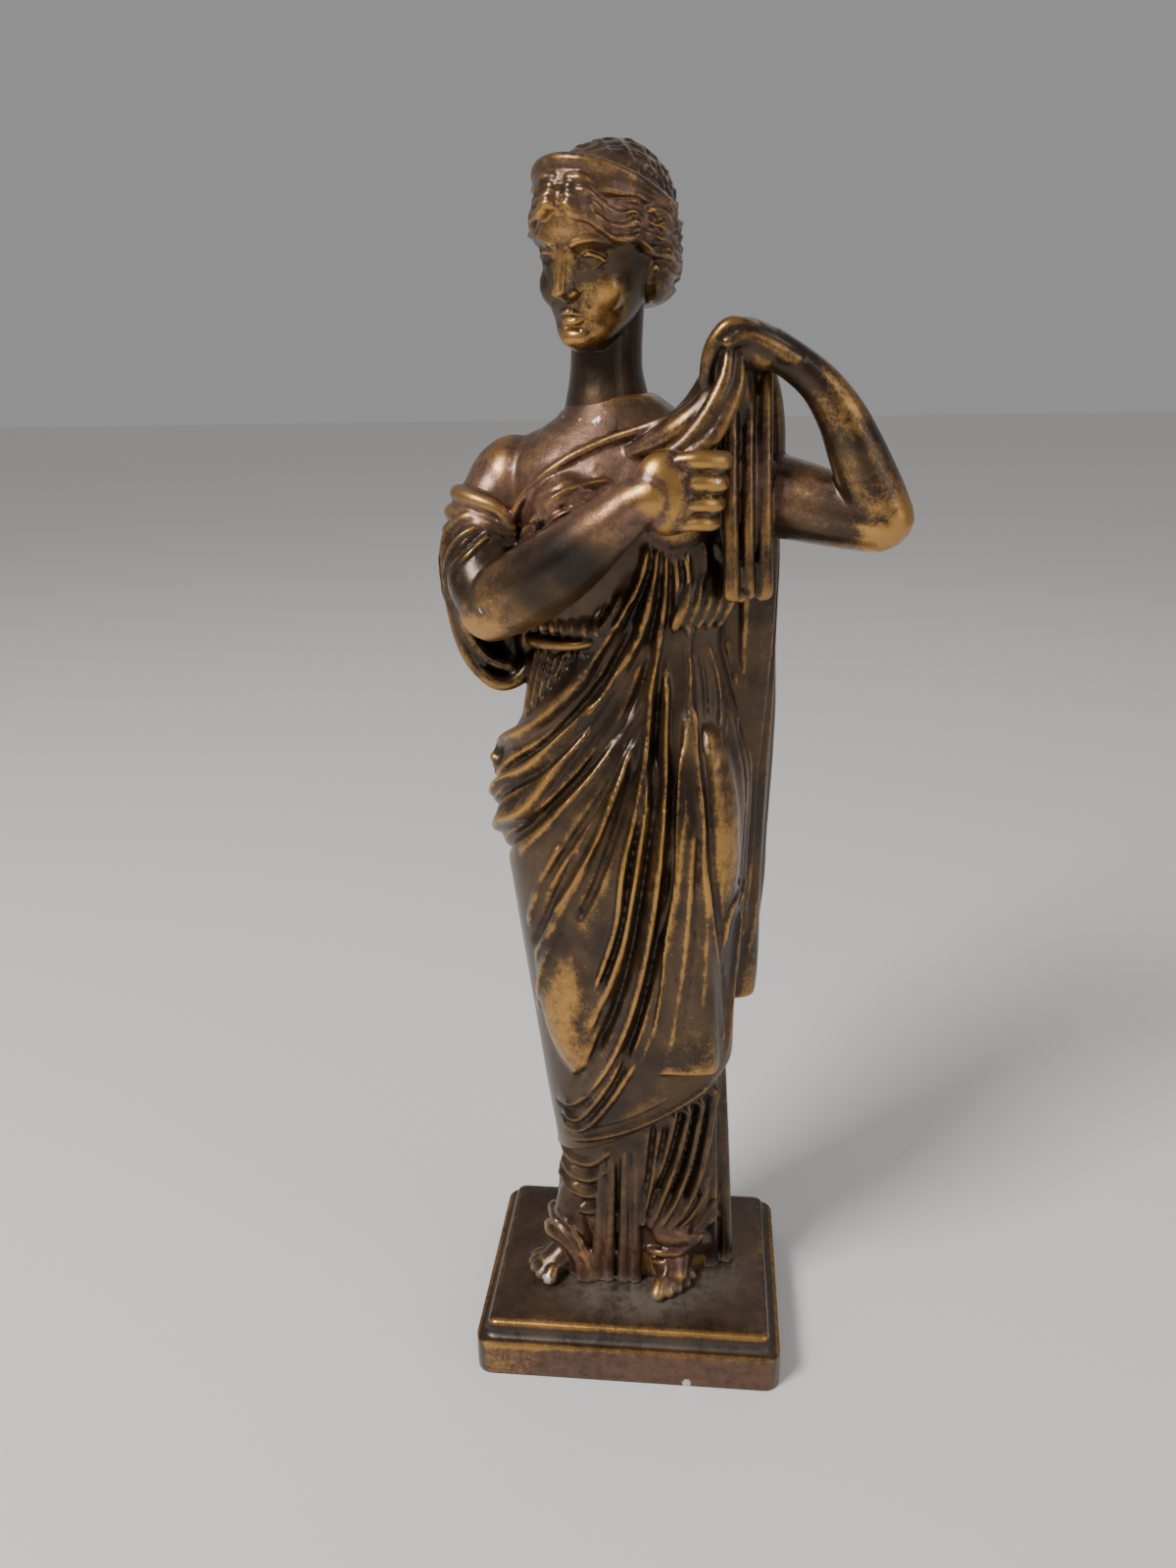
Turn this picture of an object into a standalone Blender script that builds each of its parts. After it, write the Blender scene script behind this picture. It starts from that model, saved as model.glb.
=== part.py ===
"""Statuette of a robed woman who draws her cloak to the shoulder, standing on a stepped plinth.

The plinth is set out in metres. The figure is set out on its own grid: 342 units tall, x to the viewer's
right, -y to the front, z up from the soles, and is scaled to FIGURE_HEIGHT when it is finished. Every
form of the figure is pulled from a ball, the forms are fused into one skin, and the folds are pressed
into that skin along guide lines.
"""

import functools
import math

import bmesh
import bpy
import numpy as np
from mathutils import Matrix, Vector
from mathutils.bvhtree import BVHTree

# Driving dimensions, in metres
FIGURE_HEIGHT = 0.342
PLINTH_WIDTH = 0.097
PLINTH_DEPTH = 0.075
SLAB_HEIGHT = 0.0125
PLINTH_HEIGHT = 0.018
STEP_INSET = 0.0035
CORNER_RADIUS = 0.005
EDGE_RADIUS = 0.0012
SEAT_GAP = 0.0003

# The figure's grid
GRID_HEIGHT = 342.0
VOXEL = 1.0
HEAD_VOXEL = 0.4
FIGURE_TRIANGLES = 8000
MOUND_HEIGHT = 1.3
CORNER_STEPS = 3
SIDE_STEPS = 5

# The head's place on the figure, and how it is turned, in degrees
HEAD_AT = (-5.6, 0.5, 295.4)
HEAD_TURN = -27.0
HEAD_NOD = 14.0
HEAD_TILT = 6.0
HEAD_SCALE = (1.04, 1.04, 0.955)


def through(points, count):
    """Reads count points from a smooth curve through the given ones, of any dimension."""
    rows = np.array(points, float)
    ends = np.vstack([2 * rows[0] - rows[1], rows, 2 * rows[-1] - rows[-2]])
    spans = len(rows) - 1
    at = np.linspace(0, spans, count)
    span = np.minimum(at.astype(int), spans - 1)
    t = (at - span)[:, None]
    a, b, c, d = ends[span], ends[span + 1], ends[span + 2], ends[span + 3]
    return 0.5 * (2 * b + (c - a) * t + (2 * a - 5 * b + 4 * c - d) * t**2 + (3 * b - a - 3 * c + d) * t**3)


@functools.lru_cache
def pattern(rings, sides):
    """A ball's points, the ring that each is on, counted from the bottom, and its faces."""
    shape = bmesh.new()
    bmesh.ops.create_uvsphere(shape, u_segments=sides, v_segments=rings, radius=1)
    points = np.array([vert.co[:] for vert in shape.verts])
    faces = [[vert.index for vert in face.verts] for face in shape.faces]
    shape.free()
    ring = np.rint(np.arccos(np.clip(-points[:, 2], -1, 1)) / math.pi * rings).astype(int)
    return points, ring, faces


class Clay:
    """A heap of closed forms that overlap, to be fused into one skin."""

    def __init__(self):
        self.points = []
        self.faces = []
        self.count = 0

    def add(self, points, faces):
        self.points.append(points)
        self.faces += [[index + self.count for index in face] for face in faces]
        self.count += len(points)

    def ball(self, centre, radii, turn=(0, 0, 0)):
        """An ellipsoid, turned about X, Y and Z in degrees."""
        points, ring, faces = pattern(16, 24)
        spin = Matrix.Rotation(math.radians(turn[2]), 3, "Z") @ Matrix.Rotation(math.radians(turn[1]), 3, "Y")
        spin = np.array(spin @ Matrix.Rotation(math.radians(turn[0]), 3, "X"))
        self.add(points * radii @ spin.T + centre, faces)

    def roll(self, points, sides=14, flat=1.0):
        """A tapered roll with round ends along points (x, y, z, radius), flat in depth where flat is under 1."""
        rings = 10 * len(points)
        cap = 4
        ball, ring, faces = pattern(rings, sides)
        path = through(points, rings - 2 * cap + 1)
        spine, radius = path[:, :3], path[:, 3]
        ahead = np.gradient(spine, axis=0)
        ahead /= np.linalg.norm(ahead, axis=1)[:, None]
        side = np.cross(ahead[0], (0.3, 1, 0.1))
        sides_out = []
        for direction in ahead:
            side = side - direction * np.dot(side, direction)
            side /= np.linalg.norm(side)
            sides_out.append(side)
        across = np.array(sides_out)
        up = np.cross(ahead, across)
        step = np.clip(ring - cap, 0, rings - 2 * cap)
        tip = (np.clip(cap - ring, 0, cap) - np.clip(ring - rings + cap, 0, cap)) / cap * math.pi / 2
        flatness = np.hypot(ball[:, 0], ball[:, 1])
        flatness[flatness < 1e-6] = 1
        cosine, sine = ball[:, 0] / flatness, ball[:, 1] / flatness
        round_off = np.cos(tip) * radius[step]
        offset = across[step] * (cosine * round_off)[:, None] + up[step] * (sine * round_off)[:, None]
        offset -= ahead[step] * (np.sin(tip) * radius[step])[:, None]
        offset[:, 1] *= flat
        self.add(spine[step] + offset, faces)

    def column(self, stations, rings=60, sides=72, square=2.2):
        """A form lofted through level sections (z, left x, right x, front y, back y)."""
        ball, ring, faces = pattern(rings, sides)
        levels = through(stations, rings - 1)[np.clip(ring - 1, 0, rings - 2)]
        reach = np.hypot(ball[:, 0], ball[:, 1])
        inner = reach < 1e-6
        reach[inner] = 1
        cosine, sine = ball[:, 0] / reach, ball[:, 1] / reach
        x = np.sign(cosine) * np.abs(cosine) ** (2 / square)
        y = np.sign(sine) * np.abs(sine) ** (2 / square)
        x[inner] = y[inner] = 0
        z, left, right, front, back = levels.T
        points = np.stack([(left + right) / 2 + x * (right - left) / 2, (front + back) / 2 + y * (back - front) / 2, z], 1)
        self.add(points, faces)

    def mesh(self, name):
        mesh = bpy.data.meshes.new(name)
        mesh.from_pydata(np.vstack(self.points).tolist(), [], self.faces)
        return mesh

    def take(self, mesh):
        """Adds the faces of a mesh, which it then removes."""
        points = np.array([vert.co[:] for vert in mesh.vertices])
        self.add(points, [list(face.vertices) for face in mesh.polygons])
        bpy.data.meshes.remove(mesh)


def fused(mesh, voxel, softness):
    """The skin round the overlapping forms of a mesh, in place of that mesh."""
    holder = bpy.data.objects.new("clay", mesh)
    bpy.context.scene.collection.objects.link(holder)
    remesh = holder.modifiers.new("fuse", "REMESH")
    remesh.mode = "VOXEL"
    remesh.voxel_size = voxel
    soften = holder.modifiers.new("soften", "SMOOTH")
    soften.factor = 0.5
    soften.iterations = max(1, round(softness / voxel**2))
    skin = bpy.data.meshes.new_from_object(holder.evaluated_get(bpy.context.evaluated_depsgraph_get()))
    bpy.data.objects.remove(holder)
    bpy.data.meshes.remove(mesh)
    return skin


class Skin:
    """A mesh's points and normals as arrays, to press folds into."""

    def __init__(self, mesh):
        self.mesh = mesh
        count = len(mesh.vertices)
        flat = np.zeros(count * 3)
        mesh.vertices.foreach_get("co", flat)
        self.points = flat.reshape(count, 3).copy()
        mesh.vertices.foreach_get("normal", flat)
        self.normals = flat.reshape(count, 3).copy()
        self.tree = BVHTree.FromPolygons(self.points.tolist(), [list(face.vertices) for face in mesh.polygons])
        self.rise = np.zeros(count)

    def front(self, x, z):
        """The point of the skin that is seen at x, z from the front."""
        hit = self.tree.ray_cast(Vector((x, -90, z)), Vector((0, 1, 0)))[0]
        return hit[:] if hit else (x, 0, z)

    def near(self, x, y, z):
        """The point of the skin that is nearest to a point."""
        return self.tree.find_nearest(Vector((x, y, z)))[0][:]

    def around(self, turn, z):
        """The point of the skin at a turn about the middle: 0 in front, 90 to the viewer's right."""
        out = Vector((math.sin(math.radians(turn)), -math.cos(math.radians(turn)), 0))
        hit = self.tree.ray_cast(Vector((0, 2, z)) + 90 * out, -out)[0]
        return hit[:] if hit else (out * 25 + Vector((0, 0, z)))[:]

    def press(self, path, width, height, lean=0.0, crisp=0.3, taper=0.12):
        """Raises a fold along a path, or sinks one where height is negative. Lean makes one side steeper."""
        line = through(path, 6 * len(path))
        margin = width * (1 + abs(lean))
        near = np.all((self.points > line.min(0) - margin) & (self.points < line.max(0) + margin), axis=1)
        chosen = np.flatnonzero(near)
        if not len(chosen):
            return
        points = self.points[chosen]
        best = np.full(len(points), 1e9)
        along = np.zeros(len(points))
        side = np.zeros(len(points))
        runs = len(line) - 1
        for run in range(runs):
            start, way = line[run], line[run + 1] - line[run]
            length = max(np.dot(way, way), 1e-9)
            t = np.clip((points - start) @ way / length, 0, 1)
            away = points - start - t[:, None] * way
            distance = np.linalg.norm(away, axis=1)
            closer = distance < best
            best[closer] = distance[closer]
            along[closer] = (run + t[closer]) / runs
            turn = np.cross(way, self.normals[chosen[closer]])
            side[closer] = np.sign(np.einsum("ij,ij->i", turn, away[closer]))
        reach = best / (width * (1 + lean * side))
        inside = reach < 1
        soft = (1 - reach[inside] ** 2) ** 2
        sharp = (1 - reach[inside]) ** 1.4
        fade = np.clip(np.minimum(along, 1 - along)[inside] / max(taper, 1e-3), 0, 1)
        fade = fade * fade * (3 - 2 * fade)
        self.rise[chosen[inside]] += height * fade * ((1 - crisp) * soft + crisp * sharp)

    def set(self):
        """Moves the skin by what the folds have raised."""
        moved = self.points + self.normals * self.rise[:, None]
        self.mesh.vertices.foreach_set("co", moved.ravel())
        self.mesh.update()
        return self.mesh


def body(clay):
    """The under-dress, from the soles to the base of the neck, and what fills it out."""
    clay.column([
        (-3, -24, 30, -12, 20), (8, -24, 30, -12, 20), (25, -23.6, 30, -12.5, 19), (45, -23, 29.4, -13.5, 18),
        (70, -23, 28.6, -17, 18), (95, -25, 29, -20, 19), (122, -28, 30, -22, 20), (150, -31, 31, -23, 22),
        (175, -33, 33, -22, 22), (190, -31.5, 31.5, -21, 20), (204, -29, 28, -19, 16), (215, -26.5, 25.5, -18, 13),
        (226, -27, 26.5, -20, 14), (240, -29, 28.5, -22, 16), (254, -31, 30, -22, 17), (264, -31, 29, -18, 16),
        (271, -25, 22, -14, 14), (276, -18, 14, -11, 12), (281, -14, 7, -8, 10.5),
    ])
    clay.ball((-32, 2, 257), (11.5, 12, 14), (0, 12, 0))
    clay.roll([(-33, 2, 259, 10.5), (-38, -3, 247, 10.8), (-38.5, -10, 235, 10.6), (-36, -15, 229, 9.5)], 24)
    clay.ball((-20, 1, 264), (15, 11, 9), (0, -14, 0))
    clay.ball((-24, 5, 256), (12, 9.4, 13))
    clay.ball((27, 3, 260), (11, 11, 11))
    clay.ball((12, 2, 270), (14, 9, 6), (0, 12, 0))
    clay.ball((-14, -15, 252), (10.5, 10.5, 10.5))
    clay.ball((12, -15, 252), (10.5, 10.5, 10.5))


def cloak(clay):
    """The cloak wrapped round the hips and legs, cut off at its slanting hem."""
    wrap = Clay()
    wrap.column([
        (30, -24.5, 32, -18.5, 22), (46, -24.6, 32, -19, 22.5), (70, -27.4, 32, -21.5, 23), (95, -30, 32, -24.5, 23.5),
        (122, -33, 32.5, -27, 24), (150, -36.4, 33.5, -28, 25.5), (163, -39.2, 34.2, -27, 25.5), (172, -40.4, 34.5, -26, 25.5),
        (182, -37, 33.4, -23.6, 22.5), (196, -29.5, 29, -20, 18),
    ])
    wrap.ball((-14, -16.5, 114), (13, 10.2, 34), (0, -5, 0))
    wrap.ball((17, -14, 150), (15, 14, 46), (0, 4, 0))
    mesh = wrap.mesh("wrap")
    cut_mesh = bmesh.new()
    cut_mesh.from_mesh(mesh)
    slope = (81.5 - 46.5) / (29.6 + 24)
    cut = Vector((-slope, 0, 1)).normalized()
    everything = cut_mesh.verts[:] + cut_mesh.edges[:] + cut_mesh.faces[:]
    bmesh.ops.bisect_plane(cut_mesh, geom=everything, plane_co=(-24, 0, 46.5), plane_no=cut, clear_inner=True)
    bmesh.ops.holes_fill(cut_mesh, edges=[edge for edge in cut_mesh.edges if edge.is_boundary])
    cut_mesh.to_mesh(mesh)
    cut_mesh.free()
    clay.take(mesh)
    clay.column([
        (97, 22, 38.8, 6, 18), (110, 20, 39.6, 5, 20), (140, 18, 39.6, 4, 22), (165, 16, 40.4, 4, 23),
        (190, 13, 41.2, 3, 22), (215, 9, 41.6, 2, 20), (240, 5, 41.8, 1, 20), (256, 3, 40, 0, 19), (266, 6, 37, -3, 15),
        (274, 13, 35.5, -8, 9), (282, 20, 34.5, -13.5, 0), (289, 25, 34, -17, -9),
    ], square=2.6)
    clay.column([
        (87.5, 6, 27.5, -24.4, -10), (92, 6.2, 27.6, -24.8, -10), (110, 8, 27, -26.4, -10), (150, 12, 24.8, -29.2, -10),
        (185, 13.4, 20.6, -23.5, -10), (205, 14, 18, -15, -10),
    ], rings=40, sides=40, square=3.4)


# The wrap's folds: points seen from the front (x, z), half width, height, lean, and the points (turn, z)
# that carry the fold on round the side and the back. A negative height is the groove beside a fold.
WRAP_FOLDS = [
    ([(5, 238), (-3, 222), (-14, 205), (-28, 191), (-37, 183)], 4.0, 3.4, 0.3, [(-85, 179), (-120, 184), (-155, 200), (165, 218), (140, 240)]),
    ([(7, 233), (0, 217), (-10, 202), (-23, 189), (-34, 181)], 2.0, -2.8, 0.0, [(-84, 173), (-120, 176), (-155, 190), (165, 208), (140, 230)]),
    ([(-7, 204), (-15, 195), (-27, 183), (-37, 176)], 1.8, 1.8, 0.0, [(-85, 169), (-115, 172), (-145, 183)]),
    ([(2, 215), (-8, 198), (-21, 184), (-36, 173)], 1.8, -2.2, 0.0, [(-85, 164), (-120, 167), (-155, 181), (165, 199), (140, 220)]),
    ([(9, 236), (4, 221), (-4, 204), (-15, 188), (-27, 172), (-36, 165)], 3.2, 2.8, 0.3, [(-85, 158), (-120, 161), (-155, 175), (165, 193), (140, 214)]),
    ([(10, 222), (2, 201), (-9, 185), (-24, 169), (-34, 159)], 2.2, -2.6, 0.0, [(-85, 150), (-120, 152), (-155, 165), (165, 184), (140, 204)]),
    ([(3, 203), (-8, 184), (-21, 168), (-31, 155)], 2.6, 1.8, 0.3, []),
    ([(5, 201), (-3, 182), (-13, 166), (-20, 155), (-26, 144)], 1.8, -1.7, 0.0, []),
    ([(2, 192), (-2, 180), (-10, 158), (-21, 135), (-27, 120)], 2.4, 1.8, 0.3, []),
    ([(3.5, 188), (-2, 168), (-9, 149), (-14, 139)], 2.0, -1.9, 0.0, []),
    ([(-17, 163), (-21, 155), (-25, 146), (-29, 132)], 2.0, 1.4, 0.2, []),
    ([(-13, 161), (-18, 151), (-23, 139), (-28, 126)], 1.6, -1.6, 0.0, []),
    ([(-18, 139), (-22, 129), (-26, 115), (-28, 101)], 2.0, 1.2, 0.2, []),
    ([(12, 235), (8, 214), (5, 181), (0, 158), (-3, 137), (-12, 107)], 1.9, 2.4, 0.0, []),
    ([(7, 191), (2, 158), (-1, 136), (-8, 116)], 1.5, -1.8, 0.0, []),
    ([(9, 191), (7, 172), (3, 151), (-2, 126), (-13, 99)], 2.6, 2.0, 0.3, []),
    ([(9.5, 212), (8.5, 189), (6.5, 161), (1, 126), (-7, 100), (-18, 77)], 2.2, -3.0, 0.0, []),
    ([(13.5, 234), (11, 200), (11, 167), (5, 124), (-3, 96), (-14, 73)], 1.8, 2.4, 0.2, []),
    ([(16, 220), (13.5, 182), (12.5, 151), (5, 112), (-4, 83)], 2.0, -2.6, 0.0, []),
    ([(16.5, 234), (17, 204), (16, 162), (12, 128), (6.5, 90)], 1.7, 1.4, -0.3, []),
    ([(18, 205), (21, 174), (23.5, 147), (27.5, 104), (28.5, 92)], 1.7, 1.3, 0.3, []),
    ([(19.5, 204), (23.5, 173), (26, 145), (30, 101)], 1.8, -1.6, 0.0, []),
    ([(33, 146), (30, 142), (28, 132), (27, 120)], 1.5, 1.4, 0.0, []),
    ([(35, 145), (32.5, 134), (31, 118), (29.5, 83)], 1.5, 1.8, 0.0, []),
    ([(22, 217), (24.5, 207), (25.5, 195), (25, 183)], 1.3, 1.2, 0.0, []),
    ([(20, 216), (21.5, 206), (22, 196)], 1.0, -1.0, 0.0, []),
    ([(23.5, 216), (26.5, 205), (27.5, 193), (27, 180)], 1.2, -0.9, 0.0, []),
    ([(26.5, 216), (30, 203), (31, 190)], 1.2, 0.9, 0.0, []),
    ([(-21, 66), (-15, 67), (-8, 79), (1, 98)], 1.7, 1.6, 0.2, []),
    ([(-22, 62), (-15, 62), (-6, 75), (4.5, 96)], 1.6, 1.5, 0.2, []),
    ([(-20, 71), (-17, 72), (-12, 78)], 1.4, 1.2, 0.0, []),
    ([(-22.5, 64), (-15.5, 64.5), (-7, 77), (0, 92)], 1.0, -1.4, 0.0, []),
    ([(-23.5, 68.5), (-17, 69), (-10, 77)], 1.0, -1.4, 0.0, []),
    ([(-22, 54), (-11, 60), (3.5, 67.5), (18, 76), (26, 80.5)], 1.4, 1.2, 0.0, []),
    ([(-21, 57.5), (-10, 63.5), (4, 71), (14, 77.5)], 1.2, -0.8, 0.0, []),
]

# The pleats of the dress and the cloak between the fist and the belt: points (x, z), half width, height
BREAST_PLEATS = [
    ([(6.5, 245), (5, 238), (1.5, 230), (-3, 222)], 1.9, 2.2), ([(8.6, 244), (7.5, 235), (3.3, 221)], 1.6, 2.0),
    ([(7.6, 245), (6.3, 236), (-0.3, 221)], 1.2, -1.8), ([(9.8, 244), (9.3, 233), (5.8, 214)], 1.2, -1.8),
    ([(11.1, 245), (10.8, 235), (9.3, 224)], 1.4, 1.4), ([(12.3, 244), (12.1, 233), (11, 221)], 1.1, -1.6),
    ([(13.3, 245), (13.8, 234), (13.4, 222)], 1.3, 1.3), ([(14.6, 244), (15.4, 233), (14.6, 220)], 1.1, -1.6),
    ([(16.1, 243), (16.6, 231), (16.2, 219)], 1.3, 1.3), ([(23.8, 246), (24.9, 238), (23.8, 231), (20.2, 227), (18.2, 222)], 1.2, 1.4),
    ([(25.6, 242), (26.6, 234), (25.4, 227), (22.4, 222)], 1.2, 1.4), ([(22.5, 245), (23.4, 238), (22, 232), (19, 228)], 1.0, -1.2),
    ([(25.1, 243), (25.8, 236), (24.6, 229), (21.3, 224)], 1.0, -1.2), ([(20.5, 245), (21, 238), (19.6, 232), (17.6, 228)], 1.1, 1.0),
]


# Fine ridges and valleys on the fused skin: points (x, y, z), half width, height
FINE_FOLDS = [
    ([(-29, -16, 249), (-26, -20, 254), (-18, -24, 259), (-8, -24, 263.5), (4, -22, 268)], 1.6, 1.1),
    ([(-28, -17, 246), (-25, -21, 251), (-17, -26, 255.5), (-9, -26, 259)], 1.5, -1.0),
    ([(-27, -19, 243), (-23, -23, 248), (-16, -27, 251.5), (-10, -27, 252.5)], 1.5, 0.8),
    ([(9, -23, 271), (4, -24, 266), (0, -28, 260)], 1.4, -1.1),
    ([(26, -6, 36), (18, -12, 23), (8, -14, 17)], 1.6, 1.1),
    ([(27.4, -5, 30), (20, -10, 19), (10, -14, 14.6)], 1.5, -1.2),
    ([(28, -4, 24), (22, -8, 15), (13, -14, 12.6)], 1.5, 1.0),
    ([(-25, -6, 22), (-20, -11, 19), (-15, -14, 13)], 1.5, 1.0),
    ([(-25, -7, 18.5), (-20, -12, 15.6), (-16.4, -14.6, 10)], 1.3, -1.0),
]


def dressing(skin):
    """Presses the finer folds into the breast, the sleeve and the neck's seam."""
    for marks, width, height in FINE_FOLDS:
        skin.press([skin.near(*mark) for mark in marks], width, height, crisp=0.6)


def drapery(skin):
    """Presses the folds into the body and the cloak."""
    for marks, width, height, lean, onward in WRAP_FOLDS:
        path = [skin.front(x, z) for x, z in marks] + [skin.around(turn, z) for turn, z in onward]
        skin.press(path, width, height, lean, 0.35 if height > 0 else 0.6, 0.12 if len(path) < 7 else 0.07)
    for marks, width, height in BREAST_PLEATS:
        skin.press([skin.front(x, z) for x, z in marks], width, height, crisp=0.5)
    for rank in range(8):
        top, foot, level = -25 + 2.2 * rank, -29 + 2.3 * rank, 191 + 2.6 * rank
        skin.press([skin.front(top, 215), skin.front((top + foot) / 2, (215 + level) / 2), skin.front(foot, level)], 1.0, 1.3, crisp=0.5)
        skin.press([skin.front(top + 1.1, 215), skin.front((top + foot) / 2 + 1.1, (215 + level) / 2), skin.front(foot + 1.1, level)], 0.8, -1.0, crisp=0.5)
    for rank in range(9):
        turn = 78 + 10 * rank
        skin.press([
            skin.around(turn + 4, 266), skin.around(turn + 2, 230), skin.around(turn, 180), skin.around(turn, 140), skin.around(turn + 1, 97),
        ], 2.2, 1.6 if rank % 2 else -1.8, 0.2)
    for rank in range(5):
        level = 142 - 17 * rank
        skin.press([
            skin.around(-104, level), skin.around(-125, level + 2), skin.around(-155, level + 13), skin.around(168, level + 31),
        ], 2.4, 1.2, 0.3, taper=0.3)
    for rank in range(4):
        level = 228 + 9 * rank
        skin.press([skin.around(-112, level), skin.around(-150, level + 7), skin.around(168, level + 18)], 2.4, 1.1, taper=0.3)
    for rank in range(4):
        level = 53 - 6.6 * rank
        skin.press([skin.front(-4.5, level + 1), skin.front(-12, level - 8), skin.front(-20, level - 9.5), skin.around(-85, level - 6)], 1.9, 2.2, 0.3)
        skin.press([skin.front(-5, level - 3), skin.front(-12, level - 11.6), skin.front(-20, level - 13)], 1.2, -1.4)
    for x, foot_x, height in ((10, 3.4, 1.5), (6, 2.4, 1.3)):
        skin.press([skin.front(x, 64), skin.front((x + foot_x) / 2 + 0.4, 44), skin.front(foot_x, 20)], 1.6, height, 0.2)
        skin.press([skin.front(x + 2, 66), skin.front((x + foot_x) / 2 + 2.2, 46), skin.front(foot_x + 1.6, 24)], 1.2, -1.3)
    for rank in range(4):
        spread = rank / 3
        ridge = [(14.5 + 12 * spread, 70 + 5 * spread), (11 + 12 * spread, 51 - 4 * spread), (7 + 12 * spread, 37 - 5 * spread), (4 + 5 * spread, 23 - 6 * spread)]
        skin.press([skin.front(x, z) for x, z in ridge], 1.9, 2.8, 0.2, taper=0.04)
        skin.press([skin.front(x + 2, z - 0.5) for x, z in ridge[:3]], 1.2, -2.2, crisp=0.5, taper=0.04)
    for rank in range(16):
        turn = 104 + 11.5 * rank
        top = 57 + 19.6 * math.sin(math.radians(turn))
        skin.press([skin.around(turn, top), skin.around(turn, 28), skin.around(turn, -2)], 2.2, 2.0 if rank % 2 else 1.2, 0.3, taper=0.05)


def right_arm(clay):
    """The arm across the breast, its fist closed on the cloak."""
    clay.roll([
        (-36, -15, 227, 9.2), (-30, -19, 231, 10.2), (-22, -24, 236, 10.4), (-13, -28, 242.5, 9.6),
        (-4, -32, 250, 7.8), (3, -34, 255.5, 6.6), (8, -35, 258, 6.4),
    ], 28)
    clay.ball((12, -34.3, 259), (9.0, 5.8, 10.4), (0, -8, 10))
    knuckles = [(266.3, 2.5), (261.2, 2.4), (256.2, 2.2), (251.6, 1.9)]
    for rank, (level, radius) in enumerate(knuckles):
        reach = 24.4 - 0.7 * rank
        clay.roll([
            (15, -36, level, radius), (19.5, -36.6, level + 0.3, radius), (reach, -34.5, level, radius),
            (reach + 0.6, -29.5, level - 0.3, radius * 0.95), (reach - 2, -26, level - 0.4, radius * 0.9),
        ])


def left_arm(clay):
    """The raised arm, its hand lifting the cloak above the shoulder."""
    clay.roll([(26, 3, 258, 11), (34, 1, 255.5, 11.2), (46, -3, 253, 10.4), (57, -7, 250.5, 9.2), (65, -10, 249, 8.4)], 26)
    clay.roll([
        (66.5, -10, 249.5, 8.0), (63, -11.5, 257, 7.9), (58.5, -13, 266.5, 7.2), (54.2, -14.5, 275, 6.2),
        (48.6, -15.6, 282.6, 5.2), (42, -16.6, 288, 4.7), (36, -17.4, 291.5, 4.9),
    ], 24)
    clay.ball((68.6, -9.4, 246.5), (4.4, 4.4, 4.4))
    clay.ball((31.5, -18, 292.4), (9, 6.6, 5.8), (0, 22, 0))
    clay.ball((25.2, -17.5, 288), (4.8, 6.4, 8.5), (0, 10, 0))
    for rank in range(4):
        back = 3.2 * rank
        clay.roll([
            (31, -22.4 + back, 295.6 - 0.3 * rank, 2.2), (26, -23.4 + back, 296.4 - 0.3 * rank, 2.25),
            (22.2, -23 + back, 292, 2.2), (20.8, -21.6 + back, 286, 2.0), (21, -20.4 + back, 280.5, 1.8),
        ])
    clay.roll([(42, -20, 288.6, 2.2), (35.5, -22.4, 292, 2.3), (30, -23.8, 294, 2.1), (25.6, -24.4, 292.8, 1.8)])


def held_cloth(clay):
    """The bunch of cloak drawn up into the left hand, and what falls from it before the shoulder."""
    clay.roll([(26, -23.5, 292, 1.2), (25, -25.4, 284.5, 2.0), (21.5, -26.4, 277, 2.5), (17, -26.6, 271, 2.6), (11, -26.2, 266, 2.4), (4, -24.6, 260, 1.4), (-2, -24, 254, 0.6)])
    clay.roll([(28.4, -22.6, 290.5, 1.2), (28.2, -24.4, 283.6, 1.9), (25.4, -26, 276.5, 2.3), (21.6, -27, 270.5, 2.4), (16, -27.6, 266, 2.4), (10, -27, 259, 1.6), (5, -25, 250, 0.8)])
    clay.roll([(24, -19, 289, 2.2), (21, -20, 279, 3.4), (14, -19, 272.5, 4.0), (6, -17, 268.5, 2.8), (-1, -14.5, 266.5, 1.2)])
    clay.roll([(22, -16, 286, 2.4), (18, -14, 277, 4.2), (12, -12, 271, 4.6), (4, -11, 268, 3)])
    clay.roll([(28, -16, 289, 3.4), (28, -13, 279, 5.5), (26, -9, 268, 8), (26, -7, 256, 9)])
    falls = [(26.8, -19.8, 2.0), (31.2, -18, 1.6), (35.4, -15.4, 2.1)]
    for x, y, radius in falls:
        clay.roll([(x + 0.4, y + 5, 290, 1.3), (x, y + 2.4, 277, radius), (x + 0.5, y, 252, radius), (x + 1.1, y + 0.6, 231.5, radius * 1.15)])
    clay.roll([(27.8, -18.6, 232.4, 1.3), (30.4, -19, 230.4, 1.2), (32.6, -16.4, 232.6, 1.3), (35.4, -15.6, 230.2, 1.3)])
    clay.ball((30.5, -8.6, 255), (8, 9.2, 25))
    clay.roll([(33, -10, 290, 3.5), (35.5, -5, 279, 4.6), (36, 0, 268, 5.6), (35, 4, 254, 6.5)])
    clay.roll([(-31, -11, 248, 1.2), (-26.5, -14, 256, 1.3), (-16, -16.4, 264.6, 1.3), (-4, -15, 270, 1.3), (6, -15, 273, 1.6), (16, -17, 277, 2.0), (22, -18, 284, 1.6)])


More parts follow.
